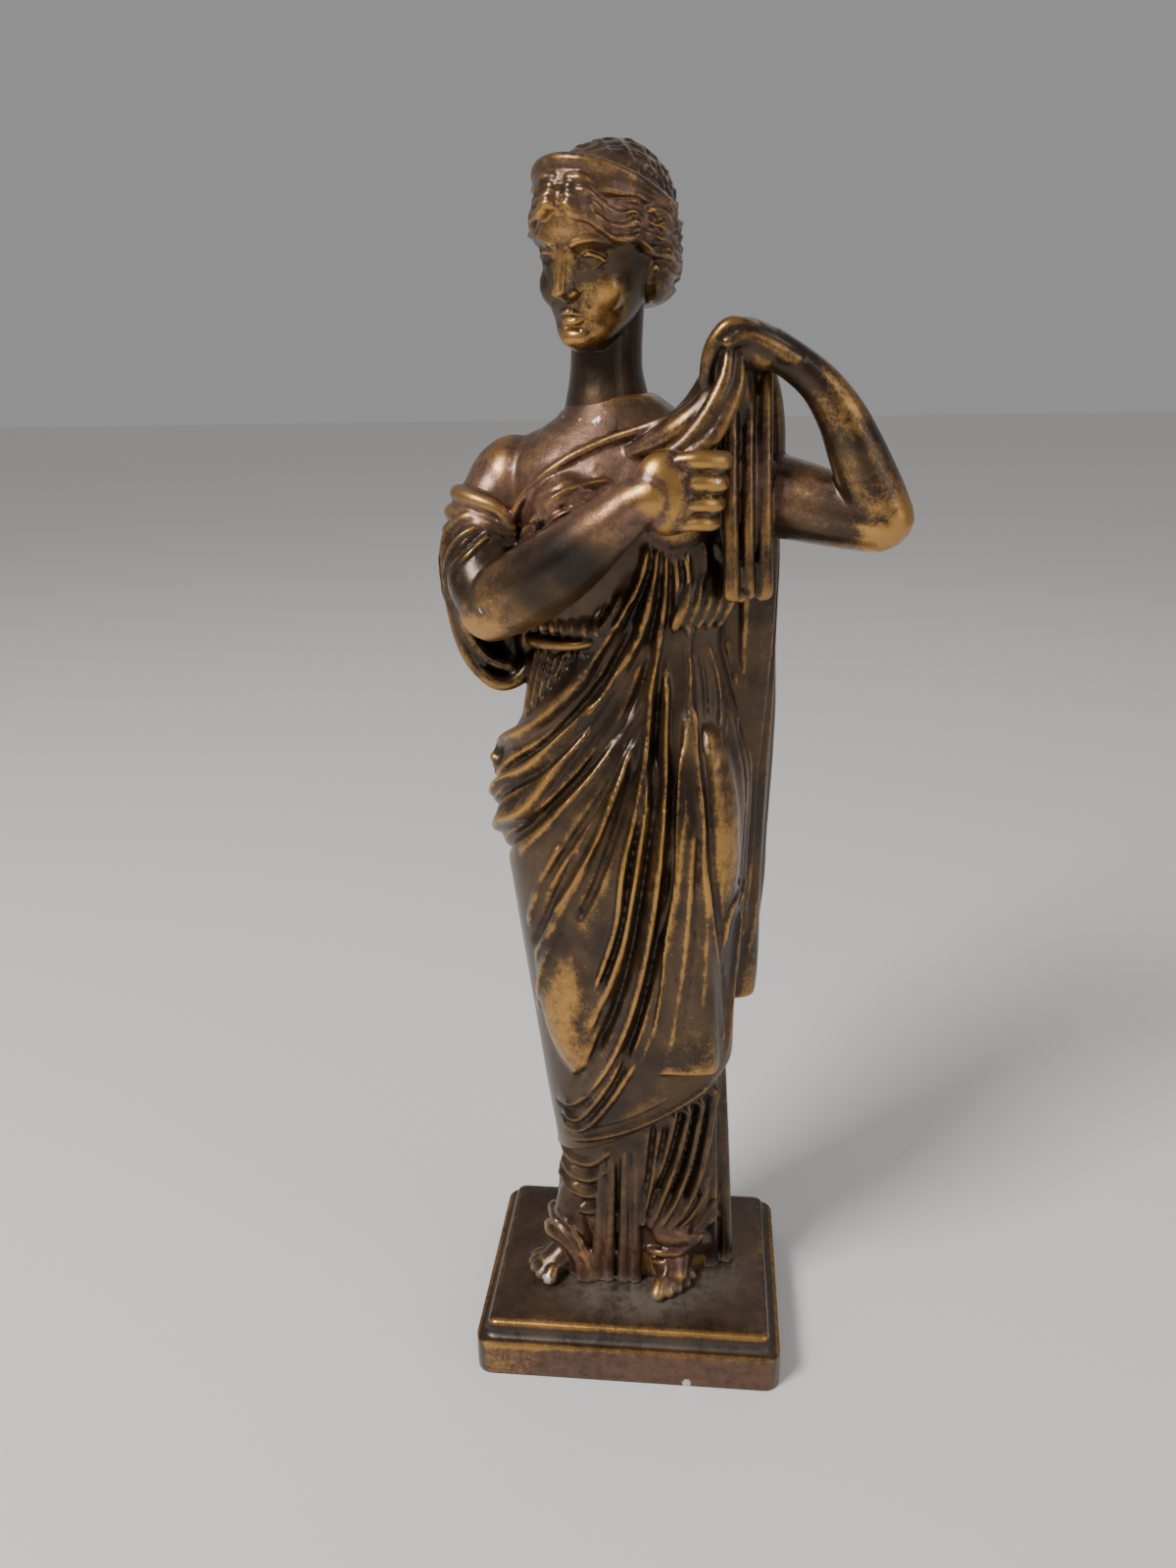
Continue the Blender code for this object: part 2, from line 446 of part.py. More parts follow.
def sleeve(clay):
    """The dress's sleeve, slipped off the shoulder and hanging open under the bent arm."""
    for rank in range(3):
        out, level = -45.4 - 2.4 * rank + 0.5 * rank**2, 256 - 5.0 * rank
        clay.roll([
            (-38, 11, level - 3, 1.8), (out, 5, level - 1, 2.1), (out - 0.4, -4, level, 2.4), (out + 4.6, -9.8, level - 0.8, 2.4),
            (out + 11.5, -12.4, level - 3.2 + 0.7 * rank, 2.0), (-30, -12.4, 248 - 2 * rank, 1.4),
        ])
        clay.roll([
            (out + 0.8, 5, level - 3.2, 1.5), (out + 0.2, -4, level - 2.5, 1.7), (out + 5, -9.6, level - 3, 1.7),
            (out + 11.4, -12, level - 4.4 + 0.7 * rank, 1.3),
        ])
    clay.roll([
        (-29, -13.6, 243.6, 1.2), (-36, -14.2, 242.4, 1.5), (-42.2, -12.6, 237.5, 1.5), (-45.4, -11.5, 229, 1.4),
        (-44.4, -10, 220, 1.4), (-40, -8, 211.6, 1.4), (-33, -5, 207.6, 1.6),
    ])
    for rank in range(5):
        y = -8.4 + 3.5 * rank
        out = 1.0 * math.sin(math.pi * (rank + 0.5) / 5)
        clay.roll([
            (-44, y, 249, 2.2), (-48.4 - out, y, 241, 1.9), (-48.4 - out, y, 230, 1.9), (-46.4 - out, y, 218, 1.9),
            (-43 - out, y, 210, 1.9), (-37.4, y, 204.6 - out, 1.9), (-32, y * 0.8, 204.4, 2.0), (-27, y * 0.5, 209, 2.6),
        ])
    clay.roll([(-38, 3, 250, 9), (-40, 6, 236, 8), (-37, 7, 220, 7), (-34, 5, 210, 4.6)])
    clay.roll([(-30, 4, 240, 7), (-28, 5, 226, 6), (-29, 4, 213, 5), (-31, 3, 207, 2.6)])
    clay.ball((-38.4, -1, 249), (10.4, 12.2, 9.6), (0, 12, 0))
    clay.ball((-38.6, 6, 214.5), (6.8, 4.4, 8.4))
    clay.ball((-35, 5.4, 208.4), (7.6, 4, 5.6))
    clay.ball((-29.5, 4.6, 211), (5.6, 4, 6))
    clay.ball((-44.5, 0, 238), (5.2, 10, 12))


def belt(clay):
    """The cord under the breast and the cloth that is gathered over it."""
    clay.roll([(-27.5, -4, 216.5, 1.7), (-25, -12, 217, 1.7), (-15, -18.5, 217.6, 1.6), (-6, -19.5, 219, 1.2)])
    for rank in range(7):
        x = -26 + 3.1 * rank
        y = -18.8 + 0.017 * x * x
        clay.roll([(x + 0.8, y + 1.4, 230, 1.2), (x, y - 0.6, 224.6, 1.7), (x + 0.6, y - 1.6, 221, 2.0), (x + 0.4, y - 0.4, 219, 1.2)])
    for rank in range(5):
        x = 14 + 2.9 * rank
        y = -20 + 0.014 * x * x
        clay.roll([(x + 2.4, y + 2.6, 244, 1.1), (x + 2.8, y + 0.4, 236, 1.5), (x + 1.6, y - 1.4, 228.6, 1.9), (x - 0.4, y - 1.0, 223.6, 1.5), (x - 1, y, 221.4, 0.9)])


def toes(clay, tips, back, size):
    """Five toes from the ball of the foot to their tips (x, y), the big toe first."""
    for rank, (x, y) in enumerate(tips):
        radius = size * (1.0, 0.78, 0.74, 0.7, 0.64)[rank]
        root = (x + (back[0] - x) * 0.55, y + (back[1] - y) * 0.55)
        clay.roll([
            (*root, 4.2, radius), (x + (root[0] - x) * 0.35, y + (root[1] - y) * 0.35, 3.7, radius * 0.9), (x, y, 1.9, radius * 0.95),
        ], 16)


def feet(clay):
    """Both feet, as far as they show, the thongs of their sandals and the hem that lies over the insteps."""
    clay.roll([(-14, 2, 9, 8), (-19, -5, 7.4, 6.8), (-24, -9.6, 4.6, 5.4), (-27.4, -11.6, 3.0, 4.4)], 20)
    toes(clay, [(-26.6, -17), (-29.8, -15.4), (-32, -12.8), (-33, -10), (-32.8, -7)], (-22, -8), 2.7)
    clay.roll([(13, 2, 11, 8.5), (13, -5, 8.4, 7.4), (13.6, -11.6, 4.8, 6.0), (14, -14, 3.4, 5.4)], 20)
    toes(clay, [(9.2, -21.6), (12.8, -20.4), (15.8, -18.4), (18.4, -15.8), (20.2, -12.4)], (13.4, -9), 2.6)
    clay.roll([(8, -13.4, 8, 1.0), (11.6, -14.6, 8.9, 1.2), (16, -11.4, 8.8, 1.2), (20, -8, 6, 1.0)])
    clay.roll([(11, -19.4, 4.6, 0.8), (12.4, -14.8, 8.6, 1.2)])
    clay.roll([(-25.6, -13.6, 6, 0.8), (-22.6, -9.6, 10, 1.1)])
    clay.roll([(-27, 1, 16, 2.4), (-24.5, -6.4, 17, 2.6), (-19, -11, 14.5, 2.6), (-14.6, -13.4, 7.5, 2.5), (-13.4, -14, -2, 2.8)], 16)
    clay.roll([(-28.5, -1, 10, 2.2), (-26.6, -6.6, 12, 2.3), (-21.6, -10.6, 11.6, 2.2), (-17.4, -13.4, 7, 2.0), (-16, -14.4, -1, 2.2)], 16)
    clay.roll([(-18, -2, 30, 5.5), (-19.4, -4, 20, 6.6), (-18, -6.6, 11, 6.8), (-16, -8.8, 1, 6.2)], 20)
    clay.roll([(-10.5, -4, 40, 5), (-11.5, -6, 26, 6), (-11.5, -7.2, 12, 6), (-11, -8, -2, 5.4)], 20)
    clay.roll([(5.4, -12, 12, 1.2), (10, -14.2, 12.6, 1.5), (16, -13, 12.4, 1.6), (21, -8.6, 10.5, 1.4), (25, -4, 5, 1.6)], 16)
    clay.roll([(6, -10, 27, 2.4), (11, -10.6, 19, 4.6), (16.5, -8, 15.4, 5.4), (22, -4, 11, 5), (25, 0, 6, 4)], 16)


def hem_tubes(clay):
    """The tube folds of the under-dress that stand on the plinth between and beside the feet."""
    tubes = [
        (-8.4, -11.2, 46, -11.0, -12.6, 2.2), (-5.6, -12.4, 52, -7.4, -12.6, 1.9), (-1.6, -13.2, 58, -2.2, -13, 1.9),
        (3.0, -13.4, 60, 1.4, -12.4, 2.0), (22.4, -7, 80, 21.6, -4.6, 2.0), (25.8, -5, 84, 26.6, -4.2, 1.9),
        (28.4, -1, 86, 31.4, -1.4, 2.0),
    ]
    for top_x, top_y, top, foot_x, foot_y, radius in tubes:
        clay.roll([
            (top_x, top_y, top, radius * 0.6), ((top_x + foot_x) / 2, (top_y + foot_y) / 2 - 0.4, top / 2, radius),
            (foot_x, foot_y, 5, radius * 1.15), (foot_x, foot_y - 0.4, -3, radius * 1.5),
        ], flat=0.9)
    clay.roll([(-4, -7, 56, 4), (-4, -7.4, 30, 6), (-4.6, -7.4, -3, 7)], 20)
    clay.roll([(23.5, 2.4, 60, 4.6), (24, 3, 30, 5), (24.4, 3.4, -3, 5.2)], 20)


def collar(clay):
    """The base of the neck, up to the seam where the head is joined on."""
    clay.roll([(-5.4, 0, 264, 12), (-5.4, 1.6, 270, 12.6), (-5.5, 2.2, 274.5, 11.6)], 32)
    clay.roll([
        (-5.5 + 11.9 * math.sin(math.radians(turn)), 2 - 11.5 * math.cos(math.radians(turn)), 276 - 1.5 * math.cos(math.radians(turn)), 0.75)
        for turn in range(0, 361, 30)
    ])


def neck(clay):
    clay.roll([(-5.4, 2.5, 268, 12.4), (-5.5, 2.3, 275, 11.2), (-5.6, 2, 281, 10.2), (-5.7, 2, 290, 9.3), (-5.2, 3, 306, 9.6)], 32)


def face(clay):
    """The bald head: the skull, the jaw, the nose, the lips and the eyes."""
    clay.column([
        (-1.6, -3.4, 3.4, -12.4, -2), (0.4, -5.6, 5.6, -14.9, 0), (3, -7.6, 7.6, -15.9, 3), (6, -9.3, 9.3, -15.2, 7),
        (9, -10.6, 10.6, -15.8, 10), (13, -11.9, 11.9, -16.2, 13.5), (17, -12.9, 12.9, -16.4, 16.5),
        (21, -13.4, 13.4, -16.6, 18), (25, -13.6, 13.6, -17.7, 18.8), (30, -13.5, 13.5, -18.2, 19),
        (35, -12.9, 12.9, -17, 18.5), (39, -11.3, 11.3, -13.8, 16.5), (42, -9, 9, -10, 13), (44.5, -5.5, 5.5, -5.5, 8.5),
        (45.6, -1, 1, 0.5, 2.5),
    ], square=2.1)
    clay.ball((0, -13.4, 2.8), (4.4, 3.3, 3.2))
    clay.roll([(0, -16.9, 27, 1.1), (0, -17.3, 24.5, 1.2), (0, -18.2, 20.5, 1.25), (0, -19.2, 16.5, 1.5), (0, -19.5, 15.3, 1.65)], 20)
    clay.roll([(0, -15.3, 26, 1.9), (0, -16.0, 20.5, 2.1), (0, -16.7, 16, 2.6), (0, -16.5, 14.4, 2.4)], 20)
    for side in (-1, 1):
        clay.ball((side * 6.3, -9.9, 14.4), (5.0, 4.5, 6.0))
        clay.ball((side * 2.25, -17.2, 14.5), (1.2, 2.0, 1.3))
        clay.ball((side * 5.9, -12.3, 22.2), (3.0, 2.75, 2.5))


def features(skin):
    """Presses the eye sockets, the brows and the creases of the mouth into the bald head."""
    for side in (-1, 1):
        socket = [skin.front(side * x, z) for x, z in ((2.6, 22.4), (5.8, 23.2), (9.2, 22))]
        skin.press(socket, 3.2, -1.25, taper=0.05)
        skin.press([skin.front(side * x, z) for x, z in ((1.9, 25.4), (4.6, 26.8), (7.8, 26.9), (11, 25.0))], 1.5, 0.7)
        skin.press([skin.front(side * x, z) for x, z in ((3.6, 14.8), (4.6, 12.6), (5.6, 10.6))], 1.3, -0.45)
        skin.press([skin.front(side * x, z) for x, z in ((2.4, 25.4), (2.9, 22), (3.1, 18))], 1.5, -0.5)
    skin.press([skin.front(x, 5.7) for x in (-2.6, 0, 2.6)], 1.2, -0.5)


def eyes_and_lips(clay):
    for side in (-1, 1):
        clay.ball((side * 5.8, -12.3, 22.1), (2.6, 2.65, 2.1))
        clay.roll([
            (side * 3.0, -14.6, 21.8, 0.25), (side * 4.3, -15.1, 23.0, 0.45), (side * 5.9, -15.15, 23.5, 0.5),
            (side * 7.6, -14.4, 22.9, 0.45), (side * 9.0, -13.1, 21.6, 0.3),
        ])
        clay.roll([
            (side * 3.0, -14.4, 21.6, 0.2), (side * 4.8, -14.7, 20.6, 0.32), (side * 6.8, -14.4, 20.4, 0.32), (side * 8.8, -13.1, 21.5, 0.25),
        ])
    clay.ball((0, -13.5, 8.3), (4.3, 2.0, 1.7))
    clay.roll([
        (-4.1, -14.1, 8.5, 0.3), (-2.2, -15.4, 9.1, 0.65), (-0.8, -16.0, 9.5, 0.7), (0, -15.9, 9.25, 0.65), (0.8, -16.0, 9.5, 0.7),
        (2.2, -15.4, 9.1, 0.65), (4.1, -14.1, 8.5, 0.3),
    ])
    clay.roll([(-3.5, -14.3, 8.0, 0.3), (-1.7, -15.3, 7.35, 0.8), (0, -15.7, 7.1, 0.9), (1.7, -15.3, 7.35, 0.8), (3.5, -14.3, 8.0, 0.3)])


def lock_line(side, rank, out=0.0):
    """One lock's run from the parting over the ear to the knot: rank 0 frames the face, 3 lies at the band."""
    wave = [0.9 * math.sin(1.9 * knot + 0.5 * rank) for knot in range(9)]
    return [
        (side * 0.7, -17.8 + 0.9 * rank - out, 33.4 + 1.9 * rank),
        (side * 3.0, -18.7 + 1.1 * rank - out, 34.8 + 1.9 * rank),
        (side * 6.6, -17.5 + 1.2 * rank - out, 32.6 + 1.8 * rank + 0.6 * wave[2]),
        (side * (10.6 + 0.8 * out), -13.8 + 1.4 * rank - 0.6 * out, 29.3 + 2.1 * rank + wave[3]),
        (side * (13.6 + out), -8.4 + 1.2 * rank, 26.4 + 2.4 * rank + wave[4]),
        (side * (15.2 + out), -1.6, 23 + 2.6 * rank + wave[5]),
        (side * (15.4 + out), 5.4, 19.4 + 2.8 * rank + wave[6]),
        (side * (13.8 + out), 12.6 + 0.5 * out, 16.4 + 2.8 * rank + wave[7]),
        (side * 9, 20.6 + out, 14 + 2.5 * rank),
    ]


def knot_line(side, rank, out=0.0):
    """One lock's run from below the ear back into the knot at the nape: rank 0 is the upper one."""
    return [
        (side * (13.8 - 0.6 * rank + out), 1 + 2.8 * rank, 17.6 - 2.0 * rank),
        (side * (13.8 - 1.6 * rank + out), 8.5 + 2.2 * rank, 13.6 - 1.5 * rank),
        (side * (9.8 - 1.0 * rank), 17.2 + 1.2 * rank + out, 11.2 - 1.0 * rank),
        (side * 3, 22.4 + rank * 0.4 + out, 10.4 - 0.6 * rank),
    ]


def hair(clay):
    """The hair: locks swept from the centre parting to the knot, and the band over the crown."""
    clay.ball((0, 4.8, 29.2), (15.0, 18.2, 17.2))
    clay.ball((0, 3.4, 26.5), (14.6, 16.6, 9.5), (14, 0, 0))
    clay.ball((0, 15.5, 15), (12.6, 11, 11.4))
    clay.ball((0, 20, 11.5), (10, 8.4, 9))
    lock_sizes = (0.7, 1.2, 1.4, 1.5, 1.5, 1.55, 1.55, 1.5, 1.3)
    for side in (-1, 1):
        clay.ball((side * 10.2, 7.6, 15.6), (4.6, 9, 9), (0, 0, side * 14))
        for rank in range(4):
            clay.roll([(*point, size) for point, size in zip(lock_line(side, rank), lock_sizes)], 14)
        for rank in range(4):
            clay.roll([(*point, size) for point, size in zip(knot_line(side, rank), (1.0, 1.5, 1.6, 1.2))], 12)
    for rank, size in enumerate((1.1, 0.9, 0.8, 1.0, 1.7)):
        drop = rank / 4
        band = []
        for turn in range(-108, 109, 24):
            sine, cosine = math.sin(math.radians(turn)), math.cos(math.radians(turn))
            band.append((15.4 * sine, 3.4 - (19.2 - 2.6 * drop) * cosine, 31.8 + 0.8 * drop + (7.2 + 4.4 * drop) * cosine, size))
        clay.roll(band, 12)


def locks(skin):
    """Combs lines into the hair, and works the crown behind the band into small curls."""
    for side in (-1, 1):
        for rank in range(7):
            line = lock_line(side, rank / 2, 2.0)
            skin.press([skin.near(*point) for point in line], 0.8, -0.7 if rank % 2 else -0.35, crisp=0.5)
        for rank in range(7):
            line = knot_line(side, rank / 2, 2.0)
            skin.press([skin.near(*point) for point in line], 0.8, -0.7 if rank % 2 else -0.35, crisp=0.5)
    for rank in range(7):
        turn = math.radians(-60 + 20 * rank)
        skin.press([
            skin.near(9 * math.sin(turn), 26, 16.5 + 7 * math.cos(turn)), skin.near(4.5 * math.sin(turn), 29, 16.5 + 3.6 * math.cos(turn)),
            skin.near(0, 29.5, 16.5),
        ], 1.0, -0.5)
    for strand in range(15):
        turn = math.radians(-84 + 168 * strand / 14)
        marks = []
        for knot in range(15):
            tilt = math.radians(60 + 8.2 * knot)
            across = turn + 0.07 * math.sin(2.3 * knot + 2.4 * strand)
            marks.append(skin.near(
                15.9 * math.sin(across), 5 - 19.4 * math.cos(across) * math.cos(tilt), 29.6 + 18.2 * math.cos(across) * math.sin(tilt)
            ))
        skin.press(marks, 1.1, 0.6, crisp=0.3, taper=0.05)
        for knot in range(2, 14, 3):
            skin.press(marks[knot:knot + 2], 1.4, 0.45 if (knot + strand) % 2 else -0.45, taper=0.4)


def head_mesh(voxel):
    """The head on its own grid, the chin at the origin's level and the face to -y, then set on the neck."""
    bald = Clay()
    face(bald)
    skin = Skin(fused(bald.mesh("bald"), voxel, 1.0))
    features(skin)
    clay = Clay()
    clay.take(skin.set())
    eyes_and_lips(clay)
    hair(clay)
    skin = Skin(fused(clay.mesh("head"), voxel, 0.2))
    locks(skin)
    mesh = skin.set()
    place = Matrix.Translation(HEAD_AT) @ Matrix.Rotation(math.radians(HEAD_TURN), 4, "Z")
    place = place @ Matrix.Diagonal((*HEAD_SCALE, 1))
    mesh.transform(place @ Matrix.Rotation(math.radians(HEAD_NOD), 4, "X") @ Matrix.Rotation(math.radians(HEAD_TILT), 4, "Y"))
    return mesh


def figure_mesh(voxel, whole=True):
    """The figure's skin, with the neck and head or, where not whole, up to the seam at the neck."""
    under = Clay()
    body(under)
    cloak(under)
    skin = Skin(fused(under.mesh("under"), voxel, 7.0))
    drapery(skin)
    clay = Clay()
    clay.take(skin.set())
    for form in (collar, right_arm, left_arm, held_cloth, sleeve, belt, feet, hem_tubes):
        form(clay)
    if whole:
        neck(clay)
        clay.take(head_mesh(min(voxel, HEAD_VOXEL)))
    skin = Skin(fused(clay.mesh("figure"), voxel, 0.5))
    dressing(skin)
    return skin.set()


def mound(x, y):
    """How far the ground that she stands on is raised above the plinth's flat field, on the figure's grid."""
    away = (np.abs((np.asarray(x) - 2) / 41) ** 2.6 + np.abs((np.asarray(y) + 1) / 29) ** 2.6) ** (1 / 2.6)
    inside = np.clip((1 - away) / 0.3, 0, 1)
    return MOUND_HEIGHT * inside**2 * (3 - 2 * inside)


def thinned(mesh, triangles):
    """The mesh collapsed to about a number of triangles, in place of that mesh."""
    holder = bpy.data.objects.new("skin", mesh)
    bpy.context.scene.collection.objects.link(holder)
    thin = holder.modifiers.new("thin", "DECIMATE")
    thin.ratio = min(1.0, triangles / (2 * len(mesh.polygons)))
    thin.use_collapse_triangulate = True
    kept = bpy.data.meshes.new_from_object(holder.evaluated_get(bpy.context.evaluated_depsgraph_get()))
    bpy.data.objects.remove(holder)
    bpy.data.meshes.remove(mesh)
    return kept


def finished(mesh, triangles):
    """Thins the skin to a number of triangles, cuts it level at the soles and lifts those onto the mound."""
    thin = thinned(mesh, triangles)
    shape = bmesh.new()
    shape.from_mesh(thin)
    bpy.data.meshes.remove(thin)
    everything = shape.verts[:] + shape.edges[:] + shape.faces[:]
    bmesh.ops.bisect_plane(shape, geom=everything, plane_co=(0, 0, 0), plane_no=(0, 0, 1), clear_inner=True, dist=1e-5)
    bmesh.ops.holes_fill(shape, edges=[edge for edge in shape.edges if edge.is_boundary])
    keep_largest(shape)
    bmesh.ops.triangulate(shape, faces=shape.faces[:])
    lift = MOUND_HEIGHT + SEAT_GAP / FIGURE_HEIGHT * GRID_HEIGHT
    for vert in shape.verts:
        vert.co.z += lift * math.exp(-vert.co.z / 40)
    bmesh.ops.recalc_face_normals(shape, faces=shape.faces[:])
    figure = bpy.data.meshes.new("figure")
    shape.to_mesh(figure)
    shape.free()
    return figure


def keep_largest(shape):
    """Removes all but the largest of a mesh's separate shells."""
    waiting = set(shape.verts)
    shells = []
    while waiting:
        edge_of = [waiting.pop()]
        shell = list(edge_of)
        while edge_of:
            for edge in edge_of.pop().link_edges:
                for vert in edge.verts:
                    if vert in waiting:
                        waiting.remove(vert)
                        edge_of.append(vert)
                        shell.append(vert)
        shells.append(shell)
    shells.sort(key=len)
    for shell in shells[:-1]:
        bmesh.ops.delete(shape, geom=shell, context="VERTS")


def outline(inset, scale, level):
    """The plinth's outline as points: a rectangle with rounded corners, drawn in or scaled."""
    half_x, half_y = PLINTH_WIDTH / 2 - inset, PLINTH_DEPTH / 2 - inset
    radius = CORNER_RADIUS - inset * 0.6
    points = []
    for quarter, (sign_x, sign_y) in enumerate([(1, 1), (-1, 1), (-1, -1), (1, -1)]):
        for step in range(CORNER_STEPS + 1):
            turn = math.radians(90 * (quarter + step / CORNER_STEPS))
            points.append((sign_x * (half_x - radius) + radius * math.cos(turn), sign_y * (half_y - radius) + radius * math.sin(turn)))
        x, y = points[-1]
        next_sign_x, next_sign_y = [(-1, 1), (-1, -1), (1, -1), (1, 1)][quarter]
        turn = math.radians(90 * (quarter + 1))
        to_x = next_sign_x * (half_x - radius) + radius * math.cos(turn)
        to_y = next_sign_y * (half_y - radius) + radius * math.sin(turn)
        for step in range(1, SIDE_STEPS):
            points.append((x + (to_x - x) * step / SIDE_STEPS, y + (to_y - y) * step / SIDE_STEPS))
    unit = FIGURE_HEIGHT / GRID_HEIGHT
    return [
        (x * scale, y * scale, level + float(mound(x * scale / unit, y * scale / unit)) * unit * (level >= PLINTH_HEIGHT))
        for x, y in points
    ]


def plinth_mesh():
    """The stepped plinth: a slab with eased edges, a small cove, and the raised field with its mound."""
    ease = EDGE_RADIUS
    step = STEP_INSET
    profile = [
        (ease, 0), (ease * 0.3, ease * 0.3), (0, ease), (0, SLAB_HEIGHT - ease), (ease * 0.3, SLAB_HEIGHT - ease * 0.3),
        (ease, SLAB_HEIGHT), (step * 0.62, SLAB_HEIGHT + 0.0003), (step * 0.9, SLAB_HEIGHT + 0.0013), (step, SLAB_HEIGHT + 0.0026),
        (step * 1.02, PLINTH_HEIGHT - 0.0017), (step * 1.2, PLINTH_HEIGHT - 0.0006), (step * 1.65, PLINTH_HEIGHT),
    ]
    rings = [outline(inset, 1, level) for inset, level in profile]
    rings += [outline(step * 1.65, scale, PLINTH_HEIGHT) for scale in (0.87, 0.74, 0.6, 0.46, 0.3, 0.15)]
    shape = bmesh.new()
    loops = []
    for ring in rings:
        verts = [shape.verts.new(point) for point in ring]
        loops.append([shape.edges.new((verts[i - 1], verts[i])) for i in range(len(verts))])
    for lower, upper in zip(loops, loops[1:]):
        bmesh.ops.bridge_loops(shape, edges=lower + upper)
    bmesh.ops.holes_fill(shape, edges=loops[0] + loops[-1])
    bmesh.ops.triangulate(shape, faces=[face for face in shape.faces if len(face.verts) > 4])
    bmesh.ops.recalc_face_normals(shape, faces=shape.faces[:])
    mesh = bpy.data.meshes.new("plinth")
    shape.to_mesh(mesh)
    shape.free()
    return mesh


def bronze(name, colour):
    material = bpy.data.materials.new(name)
    material.use_nodes = True
    shader = material.node_tree.nodes["Principled BSDF"]
    shader.inputs["Base Color"].default_value = (*colour, 1)
    shader.inputs["Metallic"].default_value = 0.7
    shader.inputs["Roughness"].default_value = 0.4
    return material


def main():
    for leftover in list(bpy.data.objects):
        bpy.data.objects.remove(leftover)
    collection = bpy.data.collections.new("woman_statue")
    bpy.context.scene.collection.children.link(collection)
    figure = finished(figure_mesh(VOXEL), FIGURE_TRIANGLES)
    unit = FIGURE_HEIGHT / GRID_HEIGHT
    figure.transform(Matrix.Translation((0, 0, PLINTH_HEIGHT)) @ Matrix.Scale(unit, 4))
    for name, mesh, colour in (("figure", figure, (0.16, 0.09, 0.045)), ("plinth", plinth_mesh(), (0.12, 0.065, 0.035))):
        mesh.materials.append(bronze(name + "_bronze", colour))
        piece = bpy.data.objects.new(name, mesh)
        collection.objects.link(piece)


if __name__ == "__main__":
    main()
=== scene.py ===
import functools
import math

import bmesh
import bpy
import numpy as np
from bpy.props import FloatProperty, FloatVectorProperty, IntProperty, PointerProperty
from bpy.types import Operator, Panel, PropertyGroup
from mathutils import Matrix, Vector
from mathutils.bvhtree import BVHTree


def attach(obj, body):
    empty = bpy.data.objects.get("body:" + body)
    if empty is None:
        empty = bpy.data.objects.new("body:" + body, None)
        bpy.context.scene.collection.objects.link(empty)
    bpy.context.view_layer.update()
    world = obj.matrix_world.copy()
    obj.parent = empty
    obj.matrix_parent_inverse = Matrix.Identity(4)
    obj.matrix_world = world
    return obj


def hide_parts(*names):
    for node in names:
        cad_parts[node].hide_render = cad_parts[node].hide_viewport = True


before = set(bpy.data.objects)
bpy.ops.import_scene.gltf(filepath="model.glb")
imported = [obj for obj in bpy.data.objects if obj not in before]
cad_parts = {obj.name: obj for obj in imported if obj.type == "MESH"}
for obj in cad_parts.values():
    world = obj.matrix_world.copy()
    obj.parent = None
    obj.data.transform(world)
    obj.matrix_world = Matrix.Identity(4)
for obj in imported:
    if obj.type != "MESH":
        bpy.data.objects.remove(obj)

bl_info = {
    "name": "Robed woman statuette",
    "version": (1, 0, 0),
    "blender": (4, 5, 0),
    "location": "3D View > Sidebar > Statuette",
    "description": "Builds a patinated bronze statuette of a robed woman on its stepped plinth",
    "category": "Object",
}

# Driving dimensions, in metres, the same as the part's solids
FIGURE_HEIGHT = 0.342
PLINTH_WIDTH = 0.097
PLINTH_DEPTH = 0.075
SLAB_HEIGHT = 0.0125
PLINTH_HEIGHT = 0.018
STEP_INSET = 0.0035
CORNER_RADIUS = 0.005
EDGE_RADIUS = 0.0012
SEAT_GAP = 0.0003

# The figure's grid: 342 units tall, x to the viewer's right, -y to the front, z up from the soles
GRID_HEIGHT = 342.0
MOUND_HEIGHT = 1.3
MOUND_CENTRE = (2, -1)
MOUND_RADII = (41, 29)
MOUND_SQUARENESS = 2.6
# How far up the figure the lift onto the mound is felt, and how far out a line of sight starts
LIFT_REACH = 40
SIGHT_START = 90
# How far out a point is taken to be where a line of sight meets no skin
OPEN_REACH = 25

# Steps along each corner and each straight side of the plinth's outline, and up its profile
CORNER_STEPS = 10
SIDE_STEPS = 28
PROFILE_STEPS = 44

# The head's place on the figure, and how it is turned, in degrees
HEAD_AT = (-5.6, 0.5, 295.4)
HEAD_TURN = -27.0
HEAD_NOD = 14.0
HEAD_TILT = 6.0
HEAD_SCALE = (1.04, 1.04, 0.955)

# The camera's place in metres, its lens in millimetres, and its pitch, yaw and roll in degrees
CAMERA_PLACE = (0.0224, -0.3268, 0.3084)
CAMERA_LENS = 27.16
CAMERA_ANGLES = (19.9, 6.1, -1.11)

# What the lamps are aimed at, and the light that comes from all round
LAMP_AIM = (0, 0, 0.18)
WORLD_COLOUR = (0.88, 0.88, 0.89, 1)
WORLD_STRENGTH = 0.34


def through(points, count):
    """Reads count points from a smooth curve through the given ones, of any dimension."""
    rows = np.array(points, float)
    ends = np.vstack([2 * rows[0] - rows[1], rows, 2 * rows[-1] - rows[-2]])
    spans = len(rows) - 1
    at = np.linspace(0, spans, count)
    span = np.minimum(at.astype(int), spans - 1)
    t = (at - span)[:, None]
    a, b, c, d = ends[span], ends[span + 1], ends[span + 2], ends[span + 3]
    return 0.5 * (
        2 * b + (c - a) * t + (2 * a - 5 * b + 4 * c - d) * t**2 + (3 * b - a - 3 * c + d) * t**3
    )


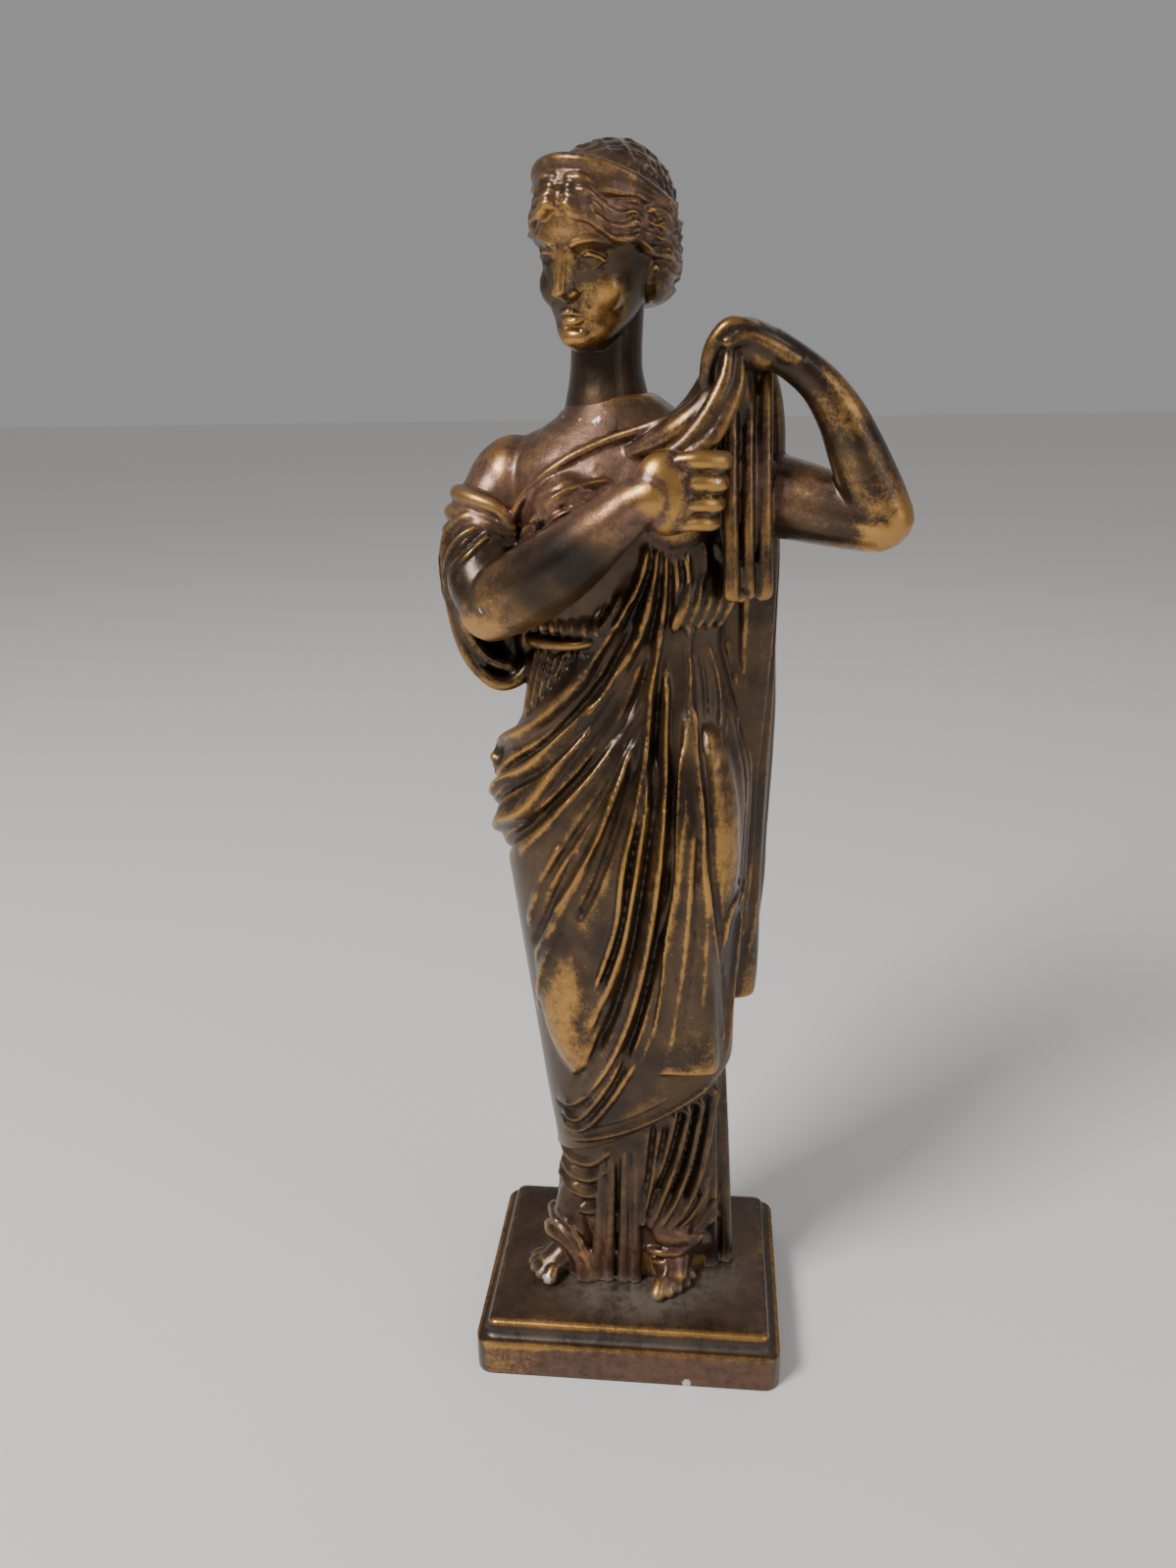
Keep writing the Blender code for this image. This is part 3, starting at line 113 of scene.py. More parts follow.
@functools.lru_cache
def pattern(rings, sides):
    """A ball's points, the ring that each is on, counted from the bottom, and its faces."""
    shape = bmesh.new()
    bmesh.ops.create_uvsphere(shape, u_segments=sides, v_segments=rings, radius=1)
    points = np.array([vert.co[:] for vert in shape.verts])
    faces = [[vert.index for vert in face.verts] for face in shape.faces]
    shape.free()
    ring = np.rint(np.arccos(np.clip(-points[:, 2], -1, 1)) / math.pi * rings).astype(int)
    return points, ring, faces


class Clay:
    """A heap of closed forms that overlap, to be fused into one skin."""

    def __init__(self):
        self.points = []
        self.faces = []
        self.count = 0

    def add(self, points, faces):
        """Adds one closed form, its faces counted from its own first point."""
        self.points.append(points)
        self.faces += [[index + self.count for index in face] for face in faces]
        self.count += len(points)

    def ball(self, centre, radii, turn=(0, 0, 0)):
        """An ellipsoid, turned about X, Y and Z in degrees."""
        points, _, faces = pattern(16, 24)
        spin = Matrix.Rotation(math.radians(turn[2]), 3, "Z") @ Matrix.Rotation(math.radians(turn[1]), 3, "Y")
        spin = np.array(spin @ Matrix.Rotation(math.radians(turn[0]), 3, "X"))
        self.add(points * radii @ spin.T + centre, faces)

    def roll(self, points, sides=14, flat=1.0):
        """A tapered roll with round ends along points (x, y, z, radius). Under 1, flat makes it shallow."""
        rings = 10 * len(points)
        cap = 4
        ball, ring, faces = pattern(rings, sides)
        path = through(points, rings - 2 * cap + 1)
        spine, radius = path[:, :3], path[:, 3]
        ahead = np.gradient(spine, axis=0)
        ahead /= np.linalg.norm(ahead, axis=1)[:, None]
        side = np.cross(ahead[0], (0.3, 1, 0.1))
        sides_out = []
        for direction in ahead:
            side = side - direction * np.dot(side, direction)
            side /= np.linalg.norm(side)
            sides_out.append(side)
        across = np.array(sides_out)
        up = np.cross(ahead, across)
        step = np.clip(ring - cap, 0, rings - 2 * cap)
        tip = (np.clip(cap - ring, 0, cap) - np.clip(ring - rings + cap, 0, cap)) / cap * math.pi / 2
        flatness = np.hypot(ball[:, 0], ball[:, 1])
        flatness[flatness < 1e-6] = 1
        cosine, sine = ball[:, 0] / flatness, ball[:, 1] / flatness
        round_off = np.cos(tip) * radius[step]
        offset = across[step] * (cosine * round_off)[:, None] + up[step] * (sine * round_off)[:, None]
        offset -= ahead[step] * (np.sin(tip) * radius[step])[:, None]
        offset[:, 1] *= flat
        self.add(spine[step] + offset, faces)

    def column(self, stations, rings=60, sides=72, square=2.2):
        """A form lofted through level sections (z, left x, right x, front y, back y)."""
        ball, ring, faces = pattern(rings, sides)
        levels = through(stations, rings - 1)[np.clip(ring - 1, 0, rings - 2)]
        reach = np.hypot(ball[:, 0], ball[:, 1])
        inner = reach < 1e-6
        reach[inner] = 1
        cosine, sine = ball[:, 0] / reach, ball[:, 1] / reach
        x = np.sign(cosine) * np.abs(cosine) ** (2 / square)
        y = np.sign(sine) * np.abs(sine) ** (2 / square)
        x[inner] = y[inner] = 0
        z, left, right, front, back = levels.T
        out_x = (left + right) / 2 + x * (right - left) / 2
        out_y = (front + back) / 2 + y * (back - front) / 2
        self.add(np.stack([out_x, out_y, z], 1), faces)

    def mesh(self, name):
        """All the forms as one mesh, still overlapping."""
        mesh = bpy.data.meshes.new(name)
        mesh.from_pydata(np.vstack(self.points).tolist(), [], self.faces)
        return mesh

    def take(self, mesh):
        """Adds the faces of a mesh, which it then removes."""
        points = np.array([vert.co[:] for vert in mesh.vertices])
        self.add(points, [list(face.vertices) for face in mesh.polygons])
        bpy.data.meshes.remove(mesh)


def fused(mesh, voxel, softness):
    """The skin round the overlapping forms of a mesh, in place of that mesh."""
    holder = bpy.data.objects.new("clay", mesh)
    bpy.context.scene.collection.objects.link(holder)
    remesh = holder.modifiers.new("fuse", "REMESH")
    remesh.mode = "VOXEL"
    remesh.voxel_size = voxel
    soften = holder.modifiers.new("soften", "SMOOTH")
    soften.factor = 0.5
    soften.iterations = max(1, round(softness / voxel**2))
    skin = bpy.data.meshes.new_from_object(holder.evaluated_get(bpy.context.evaluated_depsgraph_get()))
    bpy.data.objects.remove(holder)
    bpy.data.meshes.remove(mesh)
    return skin


class Skin:
    """A mesh's points and normals as arrays, to press folds into."""

    def __init__(self, mesh):
        self.mesh = mesh
        count = len(mesh.vertices)
        flat = np.zeros(count * 3)
        mesh.vertices.foreach_get("co", flat)
        self.points = flat.reshape(count, 3).copy()
        mesh.vertices.foreach_get("normal", flat)
        self.normals = flat.reshape(count, 3).copy()
        self.tree = BVHTree.FromPolygons(
            self.points.tolist(), [list(face.vertices) for face in mesh.polygons],
        )
        self.rise = np.zeros(count)

    def front(self, x, z):
        """The point of the skin that is seen at x, z from the front."""
        hit = self.tree.ray_cast(Vector((x, -SIGHT_START, z)), Vector((0, 1, 0)))[0]
        return hit[:] if hit else (x, 0, z)

    def near(self, x, y, z):
        """The point of the skin that is nearest to a point."""
        return self.tree.find_nearest(Vector((x, y, z)))[0][:]

    def around(self, turn, z):
        """The point of the skin at a turn about the middle: 0 in front, 90 to the viewer's right."""
        out = Vector((math.sin(math.radians(turn)), -math.cos(math.radians(turn)), 0))
        hit = self.tree.ray_cast(Vector((0, 2, z)) + SIGHT_START * out, -out)[0]
        return hit[:] if hit else (out * OPEN_REACH + Vector((0, 0, z)))[:]

    def press(self, path, width, height, lean=0.0, crisp=0.3, taper=0.12):
        """Raises a fold along a path, or sinks one where height is negative. Lean makes one side steeper."""
        line = through(path, 6 * len(path))
        margin = width * (1 + abs(lean))
        near = np.all((self.points > line.min(0) - margin) & (self.points < line.max(0) + margin), axis=1)
        chosen = np.flatnonzero(near)
        if not len(chosen):
            return
        points = self.points[chosen]
        best = np.full(len(points), 1e9)
        along = np.zeros(len(points))
        side = np.zeros(len(points))
        runs = len(line) - 1
        for run in range(runs):
            start, way = line[run], line[run + 1] - line[run]
            length = max(np.dot(way, way), 1e-9)
            t = np.clip((points - start) @ way / length, 0, 1)
            away = points - start - t[:, None] * way
            distance = np.linalg.norm(away, axis=1)
            closer = distance < best
            best[closer] = distance[closer]
            along[closer] = (run + t[closer]) / runs
            turn = np.cross(way, self.normals[chosen[closer]])
            side[closer] = np.sign(np.einsum("ij,ij->i", turn, away[closer]))
        reach = best / (width * (1 + lean * side))
        inside = reach < 1
        soft = (1 - reach[inside] ** 2) ** 2
        sharp = (1 - reach[inside]) ** 1.4
        fade = np.clip(np.minimum(along, 1 - along)[inside] / max(taper, 1e-3), 0, 1)
        fade = fade * fade * (3 - 2 * fade)
        self.rise[chosen[inside]] += height * fade * ((1 - crisp) * soft + crisp * sharp)

    def set(self):
        """Moves the skin by what the folds have raised."""
        moved = self.points + self.normals * self.rise[:, None]
        self.mesh.vertices.foreach_set("co", moved.ravel())
        self.mesh.update()
        return self.mesh


def body(clay):
    """The under-dress, from the soles to the base of the neck, and what fills it out."""
    clay.column([
        (-3, -24, 30, -12, 20), (8, -24, 30, -12, 20), (25, -23.6, 30, -12.5, 19),
        (45, -23, 29.4, -13.5, 18), (70, -23, 28.6, -17, 18), (95, -25, 29, -20, 19),
        (122, -28, 30, -22, 20), (150, -31, 31, -23, 22), (175, -33, 33, -22, 22),
        (190, -31.5, 31.5, -21, 20), (204, -29, 28, -19, 16), (215, -26.5, 25.5, -18, 13),
        (226, -27, 26.5, -20, 14), (240, -29, 28.5, -22, 16), (254, -31, 30, -22, 17),
        (264, -31, 29, -18, 16), (271, -25, 22, -14, 14), (276, -18, 14, -11, 12),
        (281, -14, 7, -8, 10.5),
    ])
    clay.ball((-32, 2, 257), (11.5, 12, 14), (0, 12, 0))
    clay.roll([
        (-33, 2, 259, 10.5), (-38, -3, 247, 10.8), (-38.5, -10, 235, 10.6), (-36, -15, 229, 9.5),
    ], 24)
    clay.ball((-20, 1, 264), (15, 11, 9), (0, -14, 0))
    clay.ball((-24, 5, 256), (12, 9.4, 13))
    clay.ball((27, 3, 260), (11, 11, 11))
    clay.ball((12, 2, 270), (14, 9, 6), (0, 12, 0))
    clay.ball((-14, -15, 252), (10.5, 10.5, 10.5))
    clay.ball((-19, -15, 242), (9.5, 9.5, 9))
    clay.ball((12, -15, 252), (10.5, 10.5, 10.5))


def cloak(clay):
    """The cloak wrapped round the hips and legs, cut off at its slanting hem."""
    wrap = Clay()
    wrap.column([
        (30, -24.5, 32, -18.5, 22), (46, -24.6, 32, -19, 22.5), (70, -27.4, 32, -21.5, 23),
        (95, -30, 32, -24.5, 23.5), (122, -33, 32.5, -27, 24), (150, -36.4, 33.5, -28, 25.5),
        (163, -39.2, 34.2, -27, 25.5), (172, -40.4, 34.5, -26, 25.5), (182, -37, 33.4, -23.6, 22.5),
        (196, -29.5, 29, -20, 18),
    ])
    wrap.ball((-14, -16.5, 114), (13, 10.2, 34), (0, -5, 0))
    wrap.ball((17, -14, 150), (15, 14, 46), (0, 4, 0))
    mesh = wrap.mesh("wrap")
    cut_mesh = bmesh.new()
    cut_mesh.from_mesh(mesh)
    slope = (81.5 - 46.5) / (29.6 + 24)
    cut = Vector((-slope, 0, 1)).normalized()
    everything = cut_mesh.verts[:] + cut_mesh.edges[:] + cut_mesh.faces[:]
    bmesh.ops.bisect_plane(
        cut_mesh, geom=everything, plane_co=(-24, 0, 46.5), plane_no=cut, clear_inner=True,
    )
    bmesh.ops.holes_fill(cut_mesh, edges=[edge for edge in cut_mesh.edges if edge.is_boundary])
    cut_mesh.to_mesh(mesh)
    cut_mesh.free()
    clay.take(mesh)
    clay.column([
        (97, 22, 38.8, 6, 18), (110, 20, 39.6, 5, 20), (140, 18, 39.6, 4, 22), (165, 16, 40.4, 4, 23),
        (190, 13, 41.2, 3, 22), (215, 9, 41.6, 2, 20), (240, 5, 41.8, 1, 20), (256, 3, 40, 0, 19),
        (266, 6, 37, -3, 15), (274, 13, 35.5, -8, 9), (282, 20, 34.5, -13.5, 0), (289, 25, 34, -17, -9),
    ], square=2.6)
    clay.column([
        (87.5, 6, 27.5, -24.4, -10), (92, 6.2, 27.6, -24.8, -10), (110, 8, 27, -26.4, -10),
        (150, 12, 24.8, -29.2, -10), (185, 13.4, 20.6, -23.5, -10), (205, 14, 18, -15, -10),
    ], rings=40, sides=40, square=3.4)


# The wrap's folds: points seen from the front (x, z), half width, height, lean, and the points (turn, z)
# that carry the fold on round the side and the back. A negative height is the groove beside a fold.
WRAP_FOLDS = [
    (
        [(5, 238), (-3, 222), (-14, 205), (-28, 191), (-37, 183)], 4.0, 3.4, 0.3,
        [(-85, 179), (-120, 184), (-155, 200), (165, 218), (140, 240)],
    ),
    (
        [(7, 233), (0, 217), (-10, 202), (-23, 189), (-34, 181)], 2.0, -2.8, 0.0,
        [(-84, 173), (-120, 176), (-155, 190), (165, 208), (140, 230)],
    ),
    (
        [(-7, 204), (-15, 195), (-27, 183), (-37, 176)], 1.8, 1.8, 0.0,
        [(-85, 169), (-115, 172), (-145, 183)],
    ),
    (
        [(2, 215), (-8, 198), (-21, 184), (-36, 173)], 1.8, -2.2, 0.0,
        [(-85, 164), (-120, 167), (-155, 181), (165, 199), (140, 220)],
    ),
    (
        [(9, 236), (4, 221), (-4, 204), (-15, 188), (-27, 172), (-36, 165)], 3.2, 2.8, 0.3,
        [(-85, 158), (-120, 161), (-155, 175), (165, 193), (140, 214)],
    ),
    (
        [(10, 222), (2, 201), (-9, 185), (-24, 169), (-34, 159)], 2.2, -2.6, 0.0,
        [(-85, 150), (-120, 152), (-155, 165), (165, 184), (140, 204)],
    ),
    ([(3, 203), (-8, 184), (-21, 168), (-31, 155)], 2.6, 1.8, 0.3, []),
    ([(5, 201), (-3, 182), (-13, 166), (-20, 155), (-26, 144)], 1.8, -1.7, 0.0, []),
    ([(2, 192), (-2, 180), (-10, 158), (-21, 135), (-27, 120)], 2.4, 1.8, 0.3, []),
    ([(3.5, 188), (-2, 168), (-9, 149), (-14, 139)], 2.0, -1.9, 0.0, []),
    ([(-17, 163), (-21, 155), (-25, 146), (-29, 132)], 2.0, 1.4, 0.2, []),
    ([(-13, 161), (-18, 151), (-23, 139), (-28, 126)], 1.6, -1.6, 0.0, []),
    ([(-18, 139), (-22, 129), (-26, 115), (-28, 101)], 2.0, 1.2, 0.2, []),
    ([(12, 235), (8, 214), (5, 181), (0, 158), (-3, 137), (-12, 107)], 1.9, 2.4, 0.0, []),
    ([(7, 191), (2, 158), (-1, 136), (-8, 116)], 1.5, -1.8, 0.0, []),
    ([(9, 191), (7, 172), (3, 151), (-2, 126), (-13, 99)], 2.6, 2.0, 0.3, []),
    ([(9.5, 212), (8.5, 189), (6.5, 161), (1, 126), (-7, 100), (-18, 77)], 2.2, -3.0, 0.0, []),
    ([(13.5, 234), (11, 200), (11, 167), (5, 124), (-3, 96), (-14, 73)], 1.8, 2.4, 0.2, []),
    ([(16, 220), (13.5, 182), (12.5, 151), (5, 112), (-4, 83)], 2.0, -2.6, 0.0, []),
    ([(16.5, 234), (17, 204), (16, 162), (12, 128), (6.5, 90)], 1.7, 1.4, -0.3, []),
    ([(14.9, 226), (12.4, 196), (11.8, 164), (7.2, 122), (0.4, 92)], 0.9, -1.2, 0.0, []),
    ([(15, 222), (14.8, 186), (14.2, 154), (9.4, 112), (2, 84)], 0.9, 1.2, 0.0, []),
    ([(18.4, 226), (19, 196), (18.6, 160), (16.6, 126), (12, 90)], 1.2, 1.1, 0.0, []),
    ([(19.4, 222), (20.2, 190), (20.4, 156), (19, 124), (16, 96)], 1.0, -1.2, 0.0, []),
    ([(21, 182), (22, 160), (23, 136), (22, 108)], 1.2, 0.9, 0.0, []),
    ([(6, 222), (0.5, 204), (-9, 187.5), (-22, 172.6), (-32, 164)], 1.0, -1.1, 0.0, []),
    ([(4.6, 214), (-2, 199), (-12, 184), (-25, 170.5)], 1.0, 1.0, 0.0, []),
    ([(-4, 210), (-13, 197.6), (-25, 186.6), (-35, 179)], 1.1, 1.0, 0.0, []),
    ([(1, 186), (-6, 168), (-15, 150), (-21, 140)], 1.0, 1.0, 0.0, []),
    ([(-4, 178), (-11, 162), (-19, 146)], 1.0, -1.1, 0.0, []),
    ([(6.5, 184), (4, 162), (0, 138), (-5, 118)], 0.9, 1.1, 0.0, []),
    ([(18, 205), (21, 174), (23.5, 147), (27.5, 104), (28.5, 92)], 1.7, 1.3, 0.3, []),
    ([(19.5, 204), (23.5, 173), (26, 145), (30, 101)], 1.8, -1.6, 0.0, []),
    ([(33, 146), (30, 142), (28, 132), (27, 120)], 1.5, 1.4, 0.0, []),
    ([(35, 145), (32.5, 134), (31, 118), (29.5, 83)], 1.5, 1.8, 0.0, []),
    ([(22, 217), (24.5, 207), (25.5, 195), (25, 183)], 1.3, 1.2, 0.0, []),
    ([(20, 216), (21.5, 206), (22, 196)], 1.0, -1.0, 0.0, []),
    ([(23.5, 216), (26.5, 205), (27.5, 193), (27, 180)], 1.2, -0.9, 0.0, []),
    ([(26.5, 216), (30, 203), (31, 190)], 1.2, 0.9, 0.0, []),
    ([(-21, 66), (-15, 67), (-8, 79), (1, 98)], 1.7, 1.6, 0.2, []),
    ([(-22, 62), (-15, 62), (-6, 75), (4.5, 96)], 1.6, 1.5, 0.2, []),
    ([(-20, 71), (-17, 72), (-12, 78)], 1.4, 1.2, 0.0, []),
    ([(-22.5, 64), (-15.5, 64.5), (-7, 77), (0, 92)], 1.0, -1.4, 0.0, []),
    ([(-23.5, 68.5), (-17, 69), (-10, 77)], 1.0, -1.4, 0.0, []),
    ([(-22, 54), (-11, 60), (3.5, 67.5), (18, 76), (26, 80.5)], 1.4, 1.2, 0.0, []),
    ([(-21, 57.5), (-10, 63.5), (4, 71), (14, 77.5)], 1.2, -0.8, 0.0, []),
]

# The pleats of the dress and the cloak between the fist and the belt: points (x, z), half width, height
BREAST_PLEATS = [
    ([(0, 233), (-4, 226), (-9, 219), (-13, 212)], 1.2, 1.4),
    ([(-3, 231), (-8, 223), (-13, 216), (-17, 210)], 1.1, -1.4),
    ([(-5, 229), (-11, 220), (-17, 213)], 1.2, 1.3), ([(-9, 227), (-14, 219), (-20, 213)], 1.0, -1.1),
    ([(3, 232), (-1, 224), (-6, 214), (-9, 208)], 1.1, -1.3),
    ([(5, 230), (2.5, 221), (-2, 211), (-5, 205)], 1.1, 1.0),
    ([(10, 222), (8, 212), (6, 202)], 1.0, 1.0), ([(17.6, 230), (18.6, 222), (18, 212)], 1.0, -1.2),
    ([(6.5, 245), (5, 238), (1.5, 230), (-3, 222)], 1.9, 2.2),
    ([(8.6, 244), (7.5, 235), (3.3, 221)], 1.6, 2.0),
    ([(7.6, 245), (6.3, 236), (-0.3, 221)], 1.2, -1.8), ([(9.8, 244), (9.3, 233), (5.8, 214)], 1.2, -1.8),
    ([(11.1, 245), (10.8, 235), (9.3, 224)], 1.4, 1.4),
    ([(12.3, 244), (12.1, 233), (11, 221)], 1.1, -1.6),
    ([(13.3, 245), (13.8, 234), (13.4, 222)], 1.3, 1.3),
    ([(14.6, 244), (15.4, 233), (14.6, 220)], 1.1, -1.6),
    ([(16.1, 243), (16.6, 231), (16.2, 219)], 1.3, 1.3),
    ([(23.8, 246), (24.9, 238), (23.8, 231), (20.2, 227), (18.2, 222)], 1.2, 1.4),
    ([(25.6, 242), (26.6, 234), (25.4, 227), (22.4, 222)], 1.2, 1.4),
    ([(22.5, 245), (23.4, 238), (22, 232), (19, 228)], 1.0, -1.2),
    ([(25.1, 243), (25.8, 236), (24.6, 229), (21.3, 224)], 1.0, -1.2),
    ([(20.5, 245), (21, 238), (19.6, 232), (17.6, 228)], 1.1, 1.0),
]

# Fine ridges and valleys on the fused skin: points (x, y, z), half width, height
FINE_FOLDS = [
    ([
        (-28, -15, 244.5), (-24, -20, 250.5), (-16, -24, 257.5), (-7, -24, 262), (3, -23, 266.5),
        (11, -24, 270),
    ], 1.5, 1.3),
    ([
        (-27, -17, 242.5), (-23, -21.5, 248.5), (-15, -26, 255), (-8, -26, 259.3), (0, -25, 263),
        (7, -24, 267),
    ], 1.3, -1.4),
    ([(-3.5, -25, 262.5), (-2.6, -26.5, 256), (-4.6, -27, 250.5), (-9, -27, 246)], 1.5, 1.2),
    ([(-7, -25.5, 260), (-6, -26.5, 255), (-7.6, -27, 250.5), (-12, -27, 246.5)], 1.4, -1.2),
    ([(-9.5, -26, 256.4), (-15, -26, 253), (-21, -24, 248), (-25.5, -20, 243)], 1.4, 1.0),
    ([(-10.5, -26, 253.6), (-16, -26.4, 250.2), (-22, -24, 245)], 1.2, -1.0),
    ([(-22, -20, 256), (-15, -23, 262), (-6, -22, 267)], 1.0, 0.5),
    ([(7, -25, 267), (2.5, -26, 261), (0.5, -27, 255), (0, -28, 250)], 1.4, 1.2),
    ([(9.4, -26, 266), (5, -27.5, 260), (3, -28.6, 254)], 1.2, -1.2),
    ([(-40, -12, 252), (-45.5, -8, 246), (-48.5, -6, 238), (-49, -6, 230), (-47, -6, 221)], 1.5, 1.3),
    ([
        (-38, -14, 249), (-43, -12, 243), (-46, -10.5, 236), (-46.5, -10, 228), (-45, -9, 219.5),
    ], 1.3, 1.2),
    ([(-35.5, -15, 246.5), (-40, -14.6, 240), (-43, -13.6, 234)], 1.2, 1.0),
    ([
        (-39, -13, 250.5), (-44.3, -10, 244.5), (-47.5, -8, 237), (-48, -8, 229), (-46.2, -7.6, 220),
    ], 1.0, -1.3),
    ([(-36.5, -14.5, 248), (-41.5, -13.4, 241.5), (-44.6, -12, 235.5), (-45, -11.6, 228)], 0.9, -1.2),
    ([(26, -6, 36), (18, -12, 23), (8, -14, 17)], 1.6, 1.1),
    ([(27.4, -5, 30), (20, -10, 19), (10, -14, 14.6)], 1.5, -1.2),
    ([(28, -4, 24), (22, -8, 15), (13, -14, 12.6)], 1.5, 1.0),
    ([(-25, -6, 22), (-20, -11, 19), (-15, -14, 13)], 1.5, 1.0),
    ([(-25, -7, 18.5), (-20, -12, 15.6), (-16.4, -14.6, 10)], 1.3, -1.0),
]


def dressing(skin):
    """Presses the finer folds into the breast, the sleeve and the cloth over the feet."""
    for marks, width, height in FINE_FOLDS:
        skin.press([skin.near(*mark) for mark in marks], width, height, crisp=0.6)


def drapery(skin):
    """Presses the folds into the body and the cloak."""
    for marks, width, height, lean, onward in WRAP_FOLDS:
        path = [skin.front(x, z) for x, z in marks] + [skin.around(turn, z) for turn, z in onward]
        crisp = 0.35 if height > 0 else 0.6
        skin.press(path, width, height, lean, crisp, taper=0.12 if len(path) < 7 else 0.07)
    for marks, width, height in BREAST_PLEATS:
        skin.press([skin.front(x, z) for x, z in marks], width, height, crisp=0.5)
    for rank in range(8):
        top, foot, level = -25 + 2.2 * rank, -29 + 2.3 * rank, 194 + 3.2 * rank
        skin.press([
            skin.front(top, 215), skin.front((top + foot) / 2, (215 + level) / 2), skin.front(foot, level),
        ], 1.0, 1.3, crisp=0.5)
        skin.press([
            skin.front(top + 1.1, 215), skin.front((top + foot) / 2 + 1.1, (215 + level) / 2),
            skin.front(foot + 1.1, level),
        ], 0.8, -1.0, crisp=0.5)
    for rank in range(9):
        turn = 78 + 10 * rank
        skin.press([
            skin.around(turn + 4, 266), skin.around(turn + 2, 230), skin.around(turn, 180),
            skin.around(turn, 140), skin.around(turn + 1, 97),
        ], 2.2, 1.6 if rank % 2 else -1.8, 0.2)
    for rank in range(5):
        level = 142 - 17 * rank
        skin.press([
            skin.around(-104, level), skin.around(-125, level + 2), skin.around(-155, level + 13),
            skin.around(168, level + 31),
        ], 2.4, 1.2, 0.3, taper=0.3)
    for rank in range(4):
        level = 228 + 9 * rank
        skin.press([
            skin.around(-112, level), skin.around(-150, level + 7), skin.around(168, level + 18),
        ], 2.4, 1.1, taper=0.3)
    for rank in range(4):
        level = 53 - 6.6 * rank
        skin.press([
            skin.front(-4.5, level + 1), skin.front(-12, level - 8), skin.front(-20, level - 9.5),
            skin.around(-85, level - 6),
        ], 2.5, 2.0, 0.3)
        skin.press([
            skin.front(-5, level - 3), skin.front(-12, level - 11.6), skin.front(-20, level - 13),
        ], 1.6, -1.5)
    for x, foot_x, height in ((10, 3.4, 1.5), (6, 2.4, 1.3)):
        skin.press([
            skin.front(x, 64), skin.front((x + foot_x) / 2 + 0.4, 44), skin.front(foot_x, 20),
        ], 1.6, height, 0.2)
        skin.press([
            skin.front(x + 2, 66), skin.front((x + foot_x) / 2 + 2.2, 46), skin.front(foot_x + 1.6, 24),
        ], 1.2, -1.3)
    for rank in range(4):
        spread = rank / 3
        ridge = [
            (14.5 + 12 * spread, 70 + 5 * spread), (11 + 12 * spread, 51 - 4 * spread),
            (7 + 12 * spread, 37 - 5 * spread), (4 + 5 * spread, 23 - 6 * spread),
        ]
        skin.press([skin.front(x, z) for x, z in ridge], 2.0 + 0.7 * (rank % 2), 2.4, 0.3, taper=0.04)
        skin.press([skin.front(x + 2.1, z - 0.5) for x, z in ridge[:3]], 1.3, -2.2, crisp=0.3, taper=0.04)
        skin.press([skin.front(x + 3.4, z - 2) for x, z in ridge[1:]], 0.9, 1.0, crisp=0.3)
    for rank in range(16):
        turn = 104 + 11.5 * rank
        top = 57 + 19.6 * math.sin(math.radians(turn))
        path = [skin.around(turn, top), skin.around(turn, 28), skin.around(turn, -2)]
        skin.press(path, 2.2, 2.0 if rank % 2 else 1.2, 0.3, taper=0.05)


def right_arm(clay):
    """The arm across the breast, its fist closed on the cloak."""
    clay.roll([
        (-36, -15, 227, 9.2), (-30, -19, 231, 10.2), (-22, -24, 236, 10.4), (-13, -28, 242.5, 9.6),
        (-4, -32, 250, 7.8), (3, -34, 255.5, 6.6), (8, -35, 258, 6.4),
    ], 28)
    clay.ball((12, -34.3, 259), (9.0, 5.8, 10.4), (0, -8, 10))
    knuckles = [(266.3, 2.5), (261.2, 2.4), (256.2, 2.2), (251.6, 1.9)]
    for rank, (level, radius) in enumerate(knuckles):
        reach = 24.4 - 0.7 * rank
        clay.roll([
            (15, -36, level, radius), (19.5, -36.6, level + 0.3, radius), (reach, -34.5, level, radius),
            (reach + 0.6, -29.5, level - 0.3, radius * 0.95), (reach - 2, -26, level - 0.4, radius * 0.9),
        ])


def left_arm(clay):
    """The raised arm, its hand lifting the cloak above the shoulder."""
    clay.roll([
        (26, 3, 258, 11), (34, 1, 255.5, 11.2), (46, -3, 253, 10.4), (57, -7, 250.5, 9.2),
        (65, -10, 249, 8.4),
    ], 26)
    clay.roll([
        (66.5, -10, 249.5, 8.0), (63, -11.5, 257, 7.9), (58.5, -13, 266.5, 7.2), (54.2, -14.5, 275, 6.2),
        (48.6, -15.6, 282.6, 5.2), (42, -16.6, 288, 4.7), (36, -17.4, 291.5, 4.9),
    ], 24)
    clay.ball((68.6, -9.4, 246.5), (4.4, 4.4, 4.4))
    clay.ball((31.5, -18, 292.4), (9, 6.6, 5.8), (0, 22, 0))
    clay.ball((25.2, -17.5, 288), (4.8, 6.4, 8.5), (0, 10, 0))
    for rank in range(4):
        back = 3.2 * rank
        clay.roll([
            (31, -22.4 + back, 295.6 - 0.3 * rank, 2.2), (26, -23.4 + back, 296.4 - 0.3 * rank, 2.25),
            (22.2, -23 + back, 292, 2.2), (20.8, -21.6 + back, 286, 2.0), (21, -20.4 + back, 280.5, 1.8),
        ])
    clay.roll([
        (42, -20, 288.6, 2.2), (35.5, -22.4, 292, 2.3), (30, -23.8, 294, 2.1), (25.6, -24.4, 292.8, 1.8),
    ])


